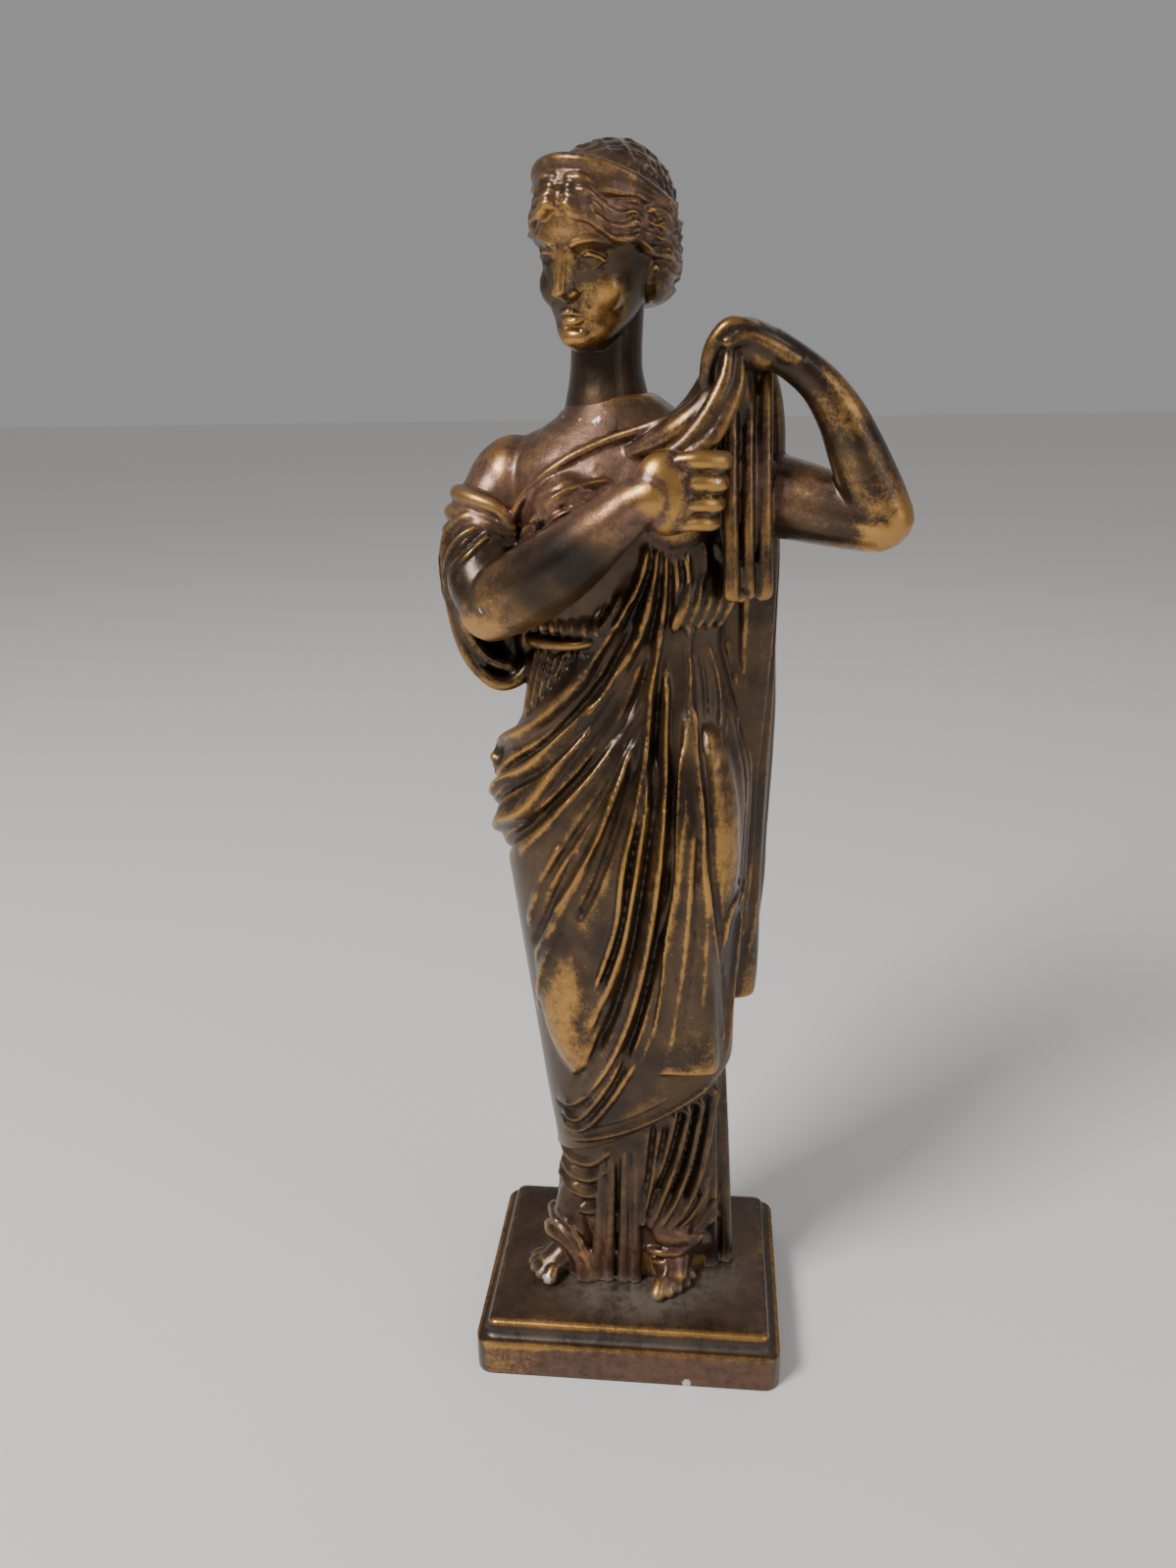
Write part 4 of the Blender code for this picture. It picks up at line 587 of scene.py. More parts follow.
def held_cloth(clay):
    """The bunch of cloak drawn up into the left hand, and what falls from it before the shoulder."""
    clay.roll([
        (26, -23.5, 292, 1.2), (25, -25.4, 284.5, 2.0), (21.5, -26.4, 277, 2.5), (17, -26.6, 271, 2.6),
        (11, -26.2, 266, 2.4), (4, -24.6, 260, 1.4), (-2, -24, 254, 0.6),
    ])
    clay.roll([
        (28.4, -22.6, 290.5, 1.2), (28.2, -24.4, 283.6, 1.9), (25.4, -26, 276.5, 2.3),
        (21.6, -27, 270.5, 2.4), (16, -27.6, 266, 2.4), (10, -27, 259, 1.6), (5, -25, 250, 0.8),
    ])
    clay.roll([
        (24, -19, 289, 2.2), (21, -20, 279, 3.4), (14, -19, 272.5, 4.0), (6, -17, 268.5, 2.8),
        (-1, -14.5, 266.5, 1.2),
    ])
    clay.roll([(22, -16, 286, 2.4), (18, -14, 277, 4.2), (12, -12, 271, 4.6), (4, -11, 268, 3)])
    clay.roll([(28, -16, 289, 3.4), (28, -13, 279, 5.5), (26, -9, 268, 8), (26, -7, 256, 9)])
    falls = [(26.8, -19.8, 2.0), (31.2, -18, 1.6), (35.4, -15.4, 2.1)]
    for x, y, radius in falls:
        clay.roll([
            (x + 0.4, y + 5, 290, 1.3), (x, y + 2.4, 277, radius), (x + 0.5, y, 252, radius),
            (x + 1.1, y + 0.6, 231.5, radius * 1.15),
        ])
    clay.roll([
        (27.8, -18.6, 232.4, 1.3), (30.4, -19, 230.4, 1.2), (32.6, -16.4, 232.6, 1.3),
        (35.4, -15.6, 230.2, 1.3),
    ])
    clay.ball((30.5, -8.6, 255), (8, 9.2, 25))
    clay.roll([(33, -10, 290, 3.5), (35.5, -5, 279, 4.6), (36, 0, 268, 5.6), (35, 4, 254, 6.5)])
    clay.roll([
        (-31, -11, 248, 1.2), (-26.5, -14, 256, 1.3), (-16, -16.4, 264.6, 1.3), (-4, -15, 270, 1.3),
        (6, -15, 273, 1.6), (16, -17, 277, 2.0), (22, -18, 284, 1.6),
    ])


def sleeve(clay):
    """The dress's sleeve, slipped off the shoulder and hanging open under the bent arm."""
    for rank in range(3):
        out, level = -45.4 - 2.4 * rank + 0.5 * rank**2, 256 - 5.0 * rank
        clay.roll([
            (-38, 11, level - 3, 1.8), (out, 5, level - 1, 2.1), (out - 0.4, -4, level, 2.4),
            (out + 4.6, -9.8, level - 0.8, 2.4), (out + 11.5, -12.4, level - 3.2 + 0.7 * rank, 2.0),
            (-30, -12.4, 248 - 2 * rank, 1.4),
        ])
        clay.roll([
            (out + 0.8, 5, level - 3.2, 1.5), (out + 0.2, -4, level - 2.5, 1.7),
            (out + 5, -9.6, level - 3, 1.7), (out + 11.4, -12, level - 4.4 + 0.7 * rank, 1.3),
        ])
    clay.roll([
        (-29, -13.6, 243.6, 1.2), (-36, -14.2, 242.4, 1.5), (-42.2, -12.6, 237.5, 1.5),
        (-45.4, -11.5, 229, 1.4), (-44.4, -10, 220, 1.4), (-40, -8, 211.6, 1.4), (-33, -5, 207.6, 1.6),
    ])
    for rank in range(5):
        y = -8.4 + 3.5 * rank
        out = 1.0 * math.sin(math.pi * (rank + 0.5) / 5)
        clay.roll([
            (-44, y, 249, 2.2), (-48.4 - out, y, 241, 1.9), (-48.4 - out, y, 230, 1.9),
            (-46.4 - out, y, 218, 1.9), (-43 - out, y, 210, 1.9), (-37.4, y, 204.6 - out, 1.9),
            (-32, y * 0.8, 204.4, 2.0), (-27, y * 0.5, 209, 2.6),
        ])
    clay.roll([(-38, 3, 250, 9), (-40, 6, 236, 8), (-37, 7, 220, 7), (-34, 5, 210, 4.6)])
    clay.roll([(-30, 4, 240, 7), (-28, 5, 226, 6), (-29, 4, 213, 5), (-31, 3, 207, 2.6)])
    clay.ball((-38.4, -1, 249), (10.4, 12.2, 9.6), (0, 12, 0))
    clay.ball((-38.6, 6, 214.5), (6.8, 4.4, 8.4))
    clay.ball((-35, 5.4, 208.4), (7.6, 4, 5.6))
    clay.ball((-29.5, 4.6, 211), (5.6, 4, 6))
    clay.ball((-44.5, 0, 238), (5.2, 10, 12))


def belt(clay):
    """The cord under the breast and the cloth that is gathered over it."""
    clay.roll([
        (-27.5, -4, 216.5, 1.7), (-25, -12, 217, 1.7), (-15, -18.5, 217.6, 1.6), (-6, -19.5, 219, 1.2),
    ])
    for rank in range(7):
        x = -26 + 3.1 * rank
        y = -18.8 + 0.017 * x * x
        clay.roll([
            (x + 0.8, y + 1.4, 230, 1.2), (x, y - 0.6, 224.6, 1.7), (x + 0.6, y - 1.6, 221, 2.0),
            (x + 0.4, y - 0.4, 219, 1.2),
        ])
    for rank in range(5):
        x = 14 + 2.9 * rank
        y = -20 + 0.014 * x * x
        clay.roll([
            (x + 2.4, y + 2.6, 244, 1.1), (x + 2.8, y + 0.4, 236, 1.5), (x + 1.6, y - 1.4, 228.6, 1.9),
            (x - 0.4, y - 1.0, 223.6, 1.5), (x - 1, y, 221.4, 0.9),
        ])


def toes(clay, tips, back, size):
    """Five toes from the ball of the foot to their tips (x, y), the big toe first."""
    for rank, (x, y) in enumerate(tips):
        radius = size * (1.0, 0.78, 0.74, 0.7, 0.64)[rank]
        root = (x + (back[0] - x) * 0.55, y + (back[1] - y) * 0.55)
        clay.roll([
            (*root, 4.2, radius), (x + (root[0] - x) * 0.35, y + (root[1] - y) * 0.35, 3.7, radius * 0.9),
            (x, y, 1.9, radius * 0.95),
        ], 16)


def feet(clay):
    """Both feet, as far as they show, the thongs of their sandals and the hem that lies over the insteps."""
    clay.roll([(-14, 2, 9, 8), (-19, -5, 7.4, 6.8), (-24, -9.6, 4.6, 5.4), (-27.4, -11.6, 3.0, 4.4)], 20)
    toes(clay, [(-26.6, -17), (-29.8, -15.4), (-32, -12.8), (-33, -10), (-32.8, -7)], (-22, -8), 2.7)
    clay.roll([(13, 2, 11, 8.5), (13, -5, 8.4, 7.4), (13.6, -11.6, 4.8, 6.0), (14, -14, 3.4, 5.4)], 20)
    toes(
        clay, [(9.2, -21.6), (12.8, -20.4), (15.8, -18.4), (18.4, -15.8), (20.2, -12.4)], (13.4, -9), 2.6,
    )
    clay.roll([(8, -13.4, 8, 1.0), (11.6, -14.6, 8.9, 1.2), (16, -11.4, 8.8, 1.2), (20, -8, 6, 1.0)])
    clay.roll([(11, -19.4, 4.6, 0.8), (12.4, -14.8, 8.6, 1.2)])
    clay.roll([(-25.6, -13.6, 6, 0.8), (-22.6, -9.6, 10, 1.1)])
    clay.roll([
        (-27, 1, 16, 2.4), (-24.5, -6.4, 17, 2.6), (-19, -11, 14.5, 2.6), (-14.6, -13.4, 7.5, 2.5),
        (-13.4, -14, -2, 2.8),
    ], 16)
    clay.roll([
        (-28.5, -1, 10, 2.2), (-26.6, -6.6, 12, 2.3), (-21.6, -10.6, 11.6, 2.2), (-17.4, -13.4, 7, 2.0),
        (-16, -14.4, -1, 2.2),
    ], 16)
    clay.roll([(-18, -2, 30, 5.5), (-19.4, -4, 20, 6.6), (-18, -6.6, 11, 6.8), (-16, -8.8, 1, 6.2)], 20)
    clay.roll([(-11, -2, 40, 5), (-12, -3, 26, 6), (-12, -3.4, 12, 6), (-11, -4, -2, 5.4)], 20)
    clay.roll([
        (5.4, -12, 12, 1.2), (10, -14.2, 12.6, 1.5), (16, -13, 12.4, 1.6), (21, -8.6, 10.5, 1.4),
        (25, -4, 5, 1.6),
    ], 16)
    clay.roll([
        (6, -10, 27, 2.4), (11, -10.6, 19, 4.6), (16.5, -8, 15.4, 5.4), (22, -4, 11, 5), (25, 0, 6, 4),
    ], 16)


def hem_tubes(clay):
    """The tube folds of the under-dress that stand on the plinth between and beside the feet."""
    tubes = [
        (-8.4, -12.0, 50, -11.2, -13.2, 1.9), (-5.4, -13.2, 56, -7.2, -13.6, 1.6),
        (-1.2, -13.6, 62, -2.4, -13.8, 1.7), (2.4, -13.8, 64, 1.6, -13.4, 1.7),
        (22.4, -7, 80, 21.6, -4.6, 2.0), (25.8, -5, 84, 26.6, -4.2, 1.9), (28.4, -1, 86, 31.4, -1.4, 2.0),
    ]
    for top_x, top_y, top, foot_x, foot_y, radius in tubes:
        clay.roll([
            (top_x, top_y, top, radius * 0.6),
            ((top_x + foot_x) / 2, (top_y + foot_y) / 2 - 0.4, top / 2, radius),
            (foot_x, foot_y, 5, radius * 1.15), (foot_x, foot_y - 0.4, -3, radius * 1.5),
        ], flat=0.9)
    clay.roll([(-4, -4, 56, 4), (-4, -4.4, 30, 6), (-4.6, -4.4, -3, 7)], 20)
    clay.roll([(23.5, 2.4, 60, 4.6), (24, 3, 30, 5), (24.4, 3.4, -3, 5.2)], 20)


def collar(clay):
    """The base of the neck, up to the seam where the head is joined on."""
    clay.roll([(-5.4, 0, 262, 14), (-5.4, 1.6, 268, 14), (-5.5, 2.1, 272.6, 12.6)], 32)
    ring = []
    for turn in range(0, 361, 30):
        sine, cosine = math.sin(math.radians(turn)), math.cos(math.radians(turn))
        ring.append((-5.5 + 12.3 * sine, 2 - 12 * cosine, 276 - 1.5 * cosine, 0.7))
    clay.roll(ring)


def neck(clay):
    """The neck, from inside the collar up into the head."""
    clay.roll([
        (-5.4, 2.5, 268, 13.6), (-5.5, 2.3, 275, 12.2), (-5.6, 2, 281, 10.7), (-5.7, 2, 289, 9.4),
        (-5.2, 3, 306, 9.6),
    ], 32)


def face(clay):
    """The bald head: the skull and the jaw, the chin, the nose, the cheeks and what the eyes lie in."""
    clay.column([
        (-1.6, -3.4, 3.4, -12.4, -2), (0.4, -5.6, 5.6, -14.9, 0), (3, -7.6, 7.6, -15.9, 3),
        (6, -9.3, 9.3, -15.2, 7), (9, -10.6, 10.6, -15.8, 10), (13, -11.9, 11.9, -16.2, 13.5),
        (17, -12.9, 12.9, -16.4, 16.5), (21, -13.4, 13.4, -16.6, 18), (25, -13.6, 13.6, -17.7, 18.8),
        (30, -13.5, 13.5, -18.2, 19), (35, -12.9, 12.9, -17, 18.5), (39, -11.3, 11.3, -13.8, 16.5),
        (42, -9, 9, -10, 13), (44.5, -5.5, 5.5, -5.5, 8.5), (45.6, -1, 1, 0.5, 2.5),
    ], square=2.1)
    clay.ball((0, -13.4, 2.8), (4.4, 3.3, 3.2))
    clay.roll([
        (0, -16.9, 27, 1.1), (0, -17.3, 24.5, 1.2), (0, -18.2, 20.5, 1.25), (0, -19.2, 16.5, 1.5),
        (0, -19.5, 15.3, 1.65),
    ], 20)
    clay.roll([
        (0, -15.3, 26, 1.9), (0, -16.0, 20.5, 2.1), (0, -16.7, 16, 2.6), (0, -16.5, 14.4, 2.4),
    ], 20)
    for side in (-1, 1):
        clay.ball((side * 6.3, -9.9, 14.4), (5.0, 4.5, 6.0))
        clay.ball((side * 2.25, -17.2, 14.5), (1.2, 2.0, 1.3))
        clay.ball((side * 5.9, -12.3, 22.2), (3.0, 2.75, 2.5))


def features(skin):
    """Presses the eye sockets, the brows and the creases of the mouth into the bald head."""
    for side in (-1, 1):
        socket = [skin.front(side * x, z) for x, z in ((2.6, 22.4), (5.8, 23.2), (9.2, 22))]
        skin.press(socket, 3.2, -1.25, taper=0.05)
        brow = [skin.front(side * x, z) for x, z in ((1.9, 25.4), (4.6, 26.8), (7.8, 26.9), (11, 25.0))]
        skin.press(brow, 1.5, 0.7)
        crease = [skin.front(side * x, z) for x, z in ((3.6, 14.8), (4.6, 12.6), (5.6, 10.6))]
        skin.press(crease, 1.3, -0.45)
    skin.press([skin.front(x, 5.7) for x in (-2.6, 0, 2.6)], 1.2, -0.5)


def eyes_and_lips(clay):
    """The eyeballs with their upper and lower lids, and the two lips."""
    for side in (-1, 1):
        clay.ball((side * 5.8, -12.3, 22.1), (2.6, 2.65, 2.1))
        clay.roll([
            (side * 3.0, -14.6, 21.8, 0.25), (side * 4.3, -15.1, 23.0, 0.45),
            (side * 5.9, -15.15, 23.5, 0.5),
            (side * 7.6, -14.4, 22.9, 0.45), (side * 9.0, -13.1, 21.6, 0.3),
        ])
        clay.roll([
            (side * 3.0, -14.4, 21.6, 0.2), (side * 4.8, -14.7, 20.6, 0.32),
            (side * 6.8, -14.4, 20.4, 0.32), (side * 8.8, -13.1, 21.5, 0.25),
        ])
    clay.ball((0, -13.5, 8.3), (4.3, 2.0, 1.7))
    clay.roll([
        (-4.1, -14.1, 8.5, 0.3), (-2.2, -15.4, 9.1, 0.65), (-0.8, -16.0, 9.5, 0.7),
        (0, -15.9, 9.25, 0.65), (0.8, -16.0, 9.5, 0.7), (2.2, -15.4, 9.1, 0.65), (4.1, -14.1, 8.5, 0.3),
    ])
    clay.roll([
        (-3.5, -14.3, 8.0, 0.3), (-1.7, -15.3, 7.35, 0.8), (0, -15.7, 7.1, 0.9), (1.7, -15.3, 7.35, 0.8),
        (3.5, -14.3, 8.0, 0.3),
    ])


def lock_line(side, rank, out=0.0):
    """One wavy lock's run from the parting to the knot: rank 0 frames the face, 3 lies at the band."""
    line = through([
        (side * 1.5, -17.7 + 0.9 * rank - out, 34.6 + 1.8 * rank),
        (side * 3.2, -18.2 + 1.1 * rank - out, 34.8 + 1.9 * rank),
        (side * 6.6, -16.9 + 1.2 * rank - out, 32.0 + 2.0 * rank),
        (side * (10.6 + 0.8 * out), -12.9 + 1.4 * rank - 0.6 * out, 28.6 + 2.2 * rank),
        (side * (13.3 + out), -8.2 + 1.2 * rank, 26.0 + 2.4 * rank),
        (side * (15.2 + out), -1.6, 23 + 2.6 * rank),
        (side * (15.4 + out), 5.4, 19.4 + 2.8 * rank),
        (side * (13.8 + out), 12.6 + 0.5 * out, 16.4 + 2.8 * rank),
        (side * 9, 20.6 + out, 14 + 2.5 * rank),
    ], 25)
    for knot, point in enumerate(line):
        swing = min(1, knot / 6) * math.sin(1.15 * knot + 0.7 * rank)
        point[2] += 0.75 * swing
        point[0] += side * 0.3 * swing
    return line


def lock_size(rank, knot):
    """A lock's half thickness at a knot of its run: thin at the parting, then swelling and narrowing."""
    swell = 0.14 * min(1, knot / 4) * math.sin(1.9 * knot + 2.2 * rank)
    return 1.5 * min(1, 0.86 + 0.05 * knot) * (1 + swell)


def knot_line(side, rank, out=0.0):
    """One lock's run from below the ear back into the knot at the nape: rank 0 is the upper one."""
    return [
        (side * (13.8 - 0.6 * rank + out), 1 + 2.8 * rank, 17.6 - 2.0 * rank),
        (side * (13.8 - 1.6 * rank + out), 8.5 + 2.2 * rank, 13.6 - 1.5 * rank),
        (side * (9.8 - 1.0 * rank), 17.2 + 1.2 * rank + out, 11.2 - 1.0 * rank),
        (side * 3, 22.4 + rank * 0.4 + out, 10.4 - 0.6 * rank),
    ]


def hair(clay):
    """The hair: locks swept from the centre parting to the knot, and the band over the crown."""
    clay.ball((0, 4.8, 29.2), (15.0, 18.2, 17.2))
    clay.ball((0, 3.4, 26.5), (14.6, 16.6, 9.5), (14, 0, 0))
    clay.ball((0, 15.5, 15), (12.6, 11, 11.4))
    clay.ball((0, 20, 11.5), (10, 8.4, 9))
    clay.roll([
        (0, -16.8, 33.8, 1.4), (0, -16, 36, 1.6), (0, -15, 38, 1.7), (0, -14, 40, 1.8), (0, -12.8, 42, 2),
    ])
    for side in (-1, 1):
        clay.ball((side * 10.2, 7.6, 15.6), (4.6, 9, 9), (0, 0, side * 14))
        clay.ball((side * 12.2, 6, 29), (3.6, 8, 5))
        for rank in range(4):
            line = lock_line(side, rank)
            clay.roll([(*point, lock_size(rank, knot)) for knot, point in enumerate(line)], 14)
        for rank in range(4):
            line = knot_line(side, rank)
            clay.roll([(*point, size) for point, size in zip(line, (1.0, 1.5, 1.6, 1.2))], 12)
    for rank, size in enumerate((1.1, 0.9, 0.8, 1.0, 1.7)):
        drop = rank / 4
        band = []
        for turn in range(-108, 109, 24):
            sine, cosine = math.sin(math.radians(turn)), math.cos(math.radians(turn))
            level = 31.8 + 0.8 * drop + (7.2 + 4.4 * drop) * cosine
            band.append((15.4 * sine, 3.4 - (19.2 - 2.6 * drop) * cosine, level, size))
        clay.roll(band, 12)


def locks(skin):
    """Combs lines into the hair, and works the crown behind the band into small curls."""
    for side in (-1, 1):
        for rank in range(7):
            width, height = (1.15, -1.15) if rank % 2 else (0.7, -0.45)
            path = [skin.near(*point) for point in lock_line(side, rank / 2, 2.0)[5 + rank % 3:]]
            skin.press(path, width, height, crisp=0.5, taper=0.16)
        for rank in range(7):
            width, height = (1.1, -1.0) if rank % 2 else (0.7, -0.45)
            path = [skin.near(*point) for point in knot_line(side, rank / 2, 2.0)]
            skin.press(path, width, height, crisp=0.5)
    for rank in range(7):
        turn = math.radians(-60 + 20 * rank)
        skin.press([
            skin.near(9 * math.sin(turn), 26, 16.5 + 7 * math.cos(turn)),
            skin.near(4.5 * math.sin(turn), 29, 16.5 + 3.6 * math.cos(turn)), skin.near(0, 29.5, 16.5),
        ], 1.0, -0.5)
    for strand in range(15):
        turn = math.radians(-84 + 168 * strand / 14)
        marks = []
        for knot in range(15):
            tilt = math.radians(60 + 8.2 * knot)
            across = turn + 0.07 * math.sin(2.3 * knot + 2.4 * strand)
            x, y = 15.9 * math.sin(across), 5 - 19.4 * math.cos(across) * math.cos(tilt)
            marks.append(skin.near(x, y, 29.6 + 18.2 * math.cos(across) * math.sin(tilt)))
        skin.press(marks, 1.2, 0.5, crisp=0.2, taper=0.05)
        for knot in range(2, 14, 3):
            skin.press(marks[knot:knot + 2], 1.5, 0.35 if (knot + strand) % 2 else -0.4, taper=0.4)


def head_mesh(voxel):
    """The head on its own grid, the chin at the origin's level and the face to -y, then set on the neck."""
    bald = Clay()
    face(bald)
    skin = Skin(fused(bald.mesh("bald"), voxel, 1.0))
    features(skin)
    clay = Clay()
    clay.take(skin.set())
    eyes_and_lips(clay)
    hair(clay)
    skin = Skin(fused(clay.mesh("head"), voxel, 0.2))
    locks(skin)
    mesh = skin.set()
    place = Matrix.Translation(HEAD_AT) @ Matrix.Rotation(math.radians(HEAD_TURN), 4, "Z")
    place = place @ Matrix.Diagonal((*HEAD_SCALE, 1))
    nod = Matrix.Rotation(math.radians(HEAD_NOD), 4, "X")
    tilt = Matrix.Rotation(math.radians(HEAD_TILT), 4, "Y")
    mesh.transform(place @ nod @ tilt)
    return mesh


def figure_mesh(voxel):
    """The figure's skin, up to the seam at the neck."""
    under = Clay()
    body(under)
    cloak(under)
    skin = Skin(fused(under.mesh("under"), voxel, 7.0))
    drapery(skin)
    clay = Clay()
    clay.take(skin.set())
    for form in (collar, right_arm, left_arm, held_cloth, sleeve, belt, feet, hem_tubes):
        form(clay)
    skin = Skin(fused(clay.mesh("figure"), voxel, 0.5))
    dressing(skin)
    return skin.set()


def mound(x, y):
    """How far the ground that she stands on is raised above the plinth's flat field, on the figure's grid."""
    across = np.abs((np.asarray(x) - MOUND_CENTRE[0]) / MOUND_RADII[0]) ** MOUND_SQUARENESS
    along = np.abs((np.asarray(y) - MOUND_CENTRE[1]) / MOUND_RADII[1]) ** MOUND_SQUARENESS
    away = (across + along) ** (1 / MOUND_SQUARENESS)
    inside = np.clip((1 - away) / 0.3, 0, 1)
    return MOUND_HEIGHT * inside**2 * (3 - 2 * inside)


def thinned(mesh, triangles):
    """The mesh collapsed to about a number of triangles, in place of that mesh."""
    holder = bpy.data.objects.new("skin", mesh)
    bpy.context.scene.collection.objects.link(holder)
    thin = holder.modifiers.new("thin", "DECIMATE")
    thin.ratio = min(1.0, triangles / (2 * len(mesh.polygons)))
    thin.use_collapse_triangulate = True
    kept = bpy.data.meshes.new_from_object(holder.evaluated_get(bpy.context.evaluated_depsgraph_get()))
    bpy.data.objects.remove(holder)
    bpy.data.meshes.remove(mesh)
    return kept


def finished(mesh, triangles):
    """Thins the skin to a number of triangles, cuts it level at the soles and lifts those onto the mound."""
    thin = thinned(mesh, triangles)
    shape = bmesh.new()
    shape.from_mesh(thin)
    bpy.data.meshes.remove(thin)
    everything = shape.verts[:] + shape.edges[:] + shape.faces[:]
    bmesh.ops.bisect_plane(
        shape, geom=everything, plane_co=(0, 0, 0), plane_no=(0, 0, 1), clear_inner=True, dist=1e-5,
    )
    bmesh.ops.holes_fill(shape, edges=[edge for edge in shape.edges if edge.is_boundary])
    keep_largest(shape)
    bmesh.ops.triangulate(shape, faces=shape.faces[:])
    lift = MOUND_HEIGHT + SEAT_GAP / FIGURE_HEIGHT * GRID_HEIGHT
    for vert in shape.verts:
        vert.co.z += lift * math.exp(-vert.co.z / LIFT_REACH)
    bmesh.ops.recalc_face_normals(shape, faces=shape.faces[:])
    figure = bpy.data.meshes.new("figure")
    shape.to_mesh(figure)
    shape.free()
    return figure


def keep_largest(shape):
    """Removes all but the largest of a mesh's separate shells."""
    waiting = set(shape.verts)
    shells = []
    for start in shape.verts:
        if start not in waiting:
            continue
        waiting.remove(start)
        edge_of = [start]
        shell = [start]
        while edge_of:
            for edge in edge_of.pop().link_edges:
                for vert in edge.verts:
                    if vert in waiting:
                        waiting.remove(vert)
                        edge_of.append(vert)
                        shell.append(vert)
        shells.append(shell)
    shells.sort(key=len)
    for shell in shells[:-1]:
        bmesh.ops.delete(shape, geom=shell, context="VERTS")


def outline(inset, scale, level):
    """The plinth's outline as points: a rectangle with rounded corners, drawn in or scaled."""
    half_x, half_y = PLINTH_WIDTH / 2 - inset, PLINTH_DEPTH / 2 - inset
    radius = CORNER_RADIUS - inset * 0.6
    points = []
    for quarter, (sign_x, sign_y) in enumerate([(1, 1), (-1, 1), (-1, -1), (1, -1)]):
        for step in range(CORNER_STEPS + 1):
            turn = math.radians(90 * (quarter + step / CORNER_STEPS))
            x = sign_x * (half_x - radius) + radius * math.cos(turn)
            y = sign_y * (half_y - radius) + radius * math.sin(turn)
            points.append((x, y))
        next_sign_x, next_sign_y = [(-1, 1), (-1, -1), (1, -1), (1, 1)][quarter]
        turn = math.radians(90 * (quarter + 1))
        to_x = next_sign_x * (half_x - radius) + radius * math.cos(turn)
        to_y = next_sign_y * (half_y - radius) + radius * math.sin(turn)
        for step in range(1, SIDE_STEPS):
            points.append((x + (to_x - x) * step / SIDE_STEPS, y + (to_y - y) * step / SIDE_STEPS))
    unit = FIGURE_HEIGHT / GRID_HEIGHT
    return [
        (
            x * scale, y * scale,
            level + float(mound(x * scale / unit, y * scale / unit)) * unit * (level >= PLINTH_HEIGHT),
        )
        for x, y in points
    ]


def plinth_mesh():
    """The stepped plinth: a slab with eased edges, a small cove, and the raised field with its mound."""
    ease = EDGE_RADIUS
    step = STEP_INSET
    profile = [
        (ease, 0), (ease * 0.3, ease * 0.3), (0, ease), (0, SLAB_HEIGHT - ease),
        (ease * 0.3, SLAB_HEIGHT - ease * 0.3), (ease, SLAB_HEIGHT), (step * 0.62, SLAB_HEIGHT + 0.0003),
        (step * 0.9, SLAB_HEIGHT + 0.0013), (step, SLAB_HEIGHT + 0.0026),
        (step * 1.02, PLINTH_HEIGHT - 0.0017), (step * 1.2, PLINTH_HEIGHT - 0.0006),
        (step * 1.65, PLINTH_HEIGHT),
    ]
    rings = [outline(inset, 1, level) for inset, level in through(profile, PROFILE_STEPS)]
    rings += [outline(step * 1.65, scale, PLINTH_HEIGHT) for scale in (0.87, 0.74, 0.6, 0.46, 0.3, 0.15)]
    shape = bmesh.new()
    loops = []
    for ring in rings:
        verts = [shape.verts.new(point) for point in ring]
        loops.append([shape.edges.new((verts[i - 1], verts[i])) for i in range(len(verts))])
    for lower, upper in zip(loops, loops[1:]):
        bmesh.ops.bridge_loops(shape, edges=lower + upper)
    bmesh.ops.holes_fill(shape, edges=loops[0] + loops[-1])
    bmesh.ops.triangulate(shape, faces=[face for face in shape.faces if len(face.verts) > 4])
    bmesh.ops.recalc_face_normals(shape, faces=shape.faces[:])
    mesh = bpy.data.meshes.new("plinth")
    shape.to_mesh(mesh)
    shape.free()
    return mesh


def smoothed(values, links, count, rounds):
    """Averages each point's values with its neighbours', a number of rounds."""
    ends = np.concatenate([links[:, 0], links[:, 1]])
    others = np.concatenate([links[:, 1], links[:, 0]])
    share = np.maximum(np.bincount(ends, minlength=count), 1)
    for _ in range(rounds):
        columns = [
            np.bincount(ends, weights=values[others, axis], minlength=count) / share
            for axis in range(values.shape[1])
        ]
        values = 0.5 * values + 0.5 * np.stack(columns, 1)
    return values


def relief(mesh, rounds):
    """How far each point stands out of the surface round it, or lies in it, in grid units."""
    count = len(mesh.vertices)
    points = np.zeros(count * 3)
    mesh.vertices.foreach_get("co", points)
    points = points.reshape(count, 3)
    normals = np.zeros(count * 3)
    mesh.vertices.foreach_get("normal", normals)
    normals = normals.reshape(count, 3)
    links = np.zeros(len(mesh.edges) * 2, int)
    mesh.edges.foreach_get("vertices", links)
    links = links.reshape(-1, 2)
    found = []
    before = points
    for more in rounds:
        after = smoothed(before, links, count, more)
        out = np.einsum("ij,ij->i", points - after, normals)
        found.append(smoothed(out[:, None], links, count, 1)[:, 0])
        before = after
    return points, normals, found


def step(value, low, high):
    """0 below low, 1 above high, and smooth between them."""
    t = np.clip((value - low) / (high - low), 0, 1)
    return t * t * (3 - 2 * t)


def spot(points, x, y, z, radius):
    """1 at a place on the figure's grid, falling to 0 at a radius from it."""
    away = np.linalg.norm(points - np.array((x, y, z)), axis=1)
    return step(-away, -radius, -radius * 0.35)


def write(mesh, name, values):
    """Keeps one number for each point of a mesh, for its material to read."""
    mesh.attributes.new(name, "FLOAT", "POINT").data.foreach_set(
        "value", np.ascontiguousarray(values, dtype=np.float32),
    )


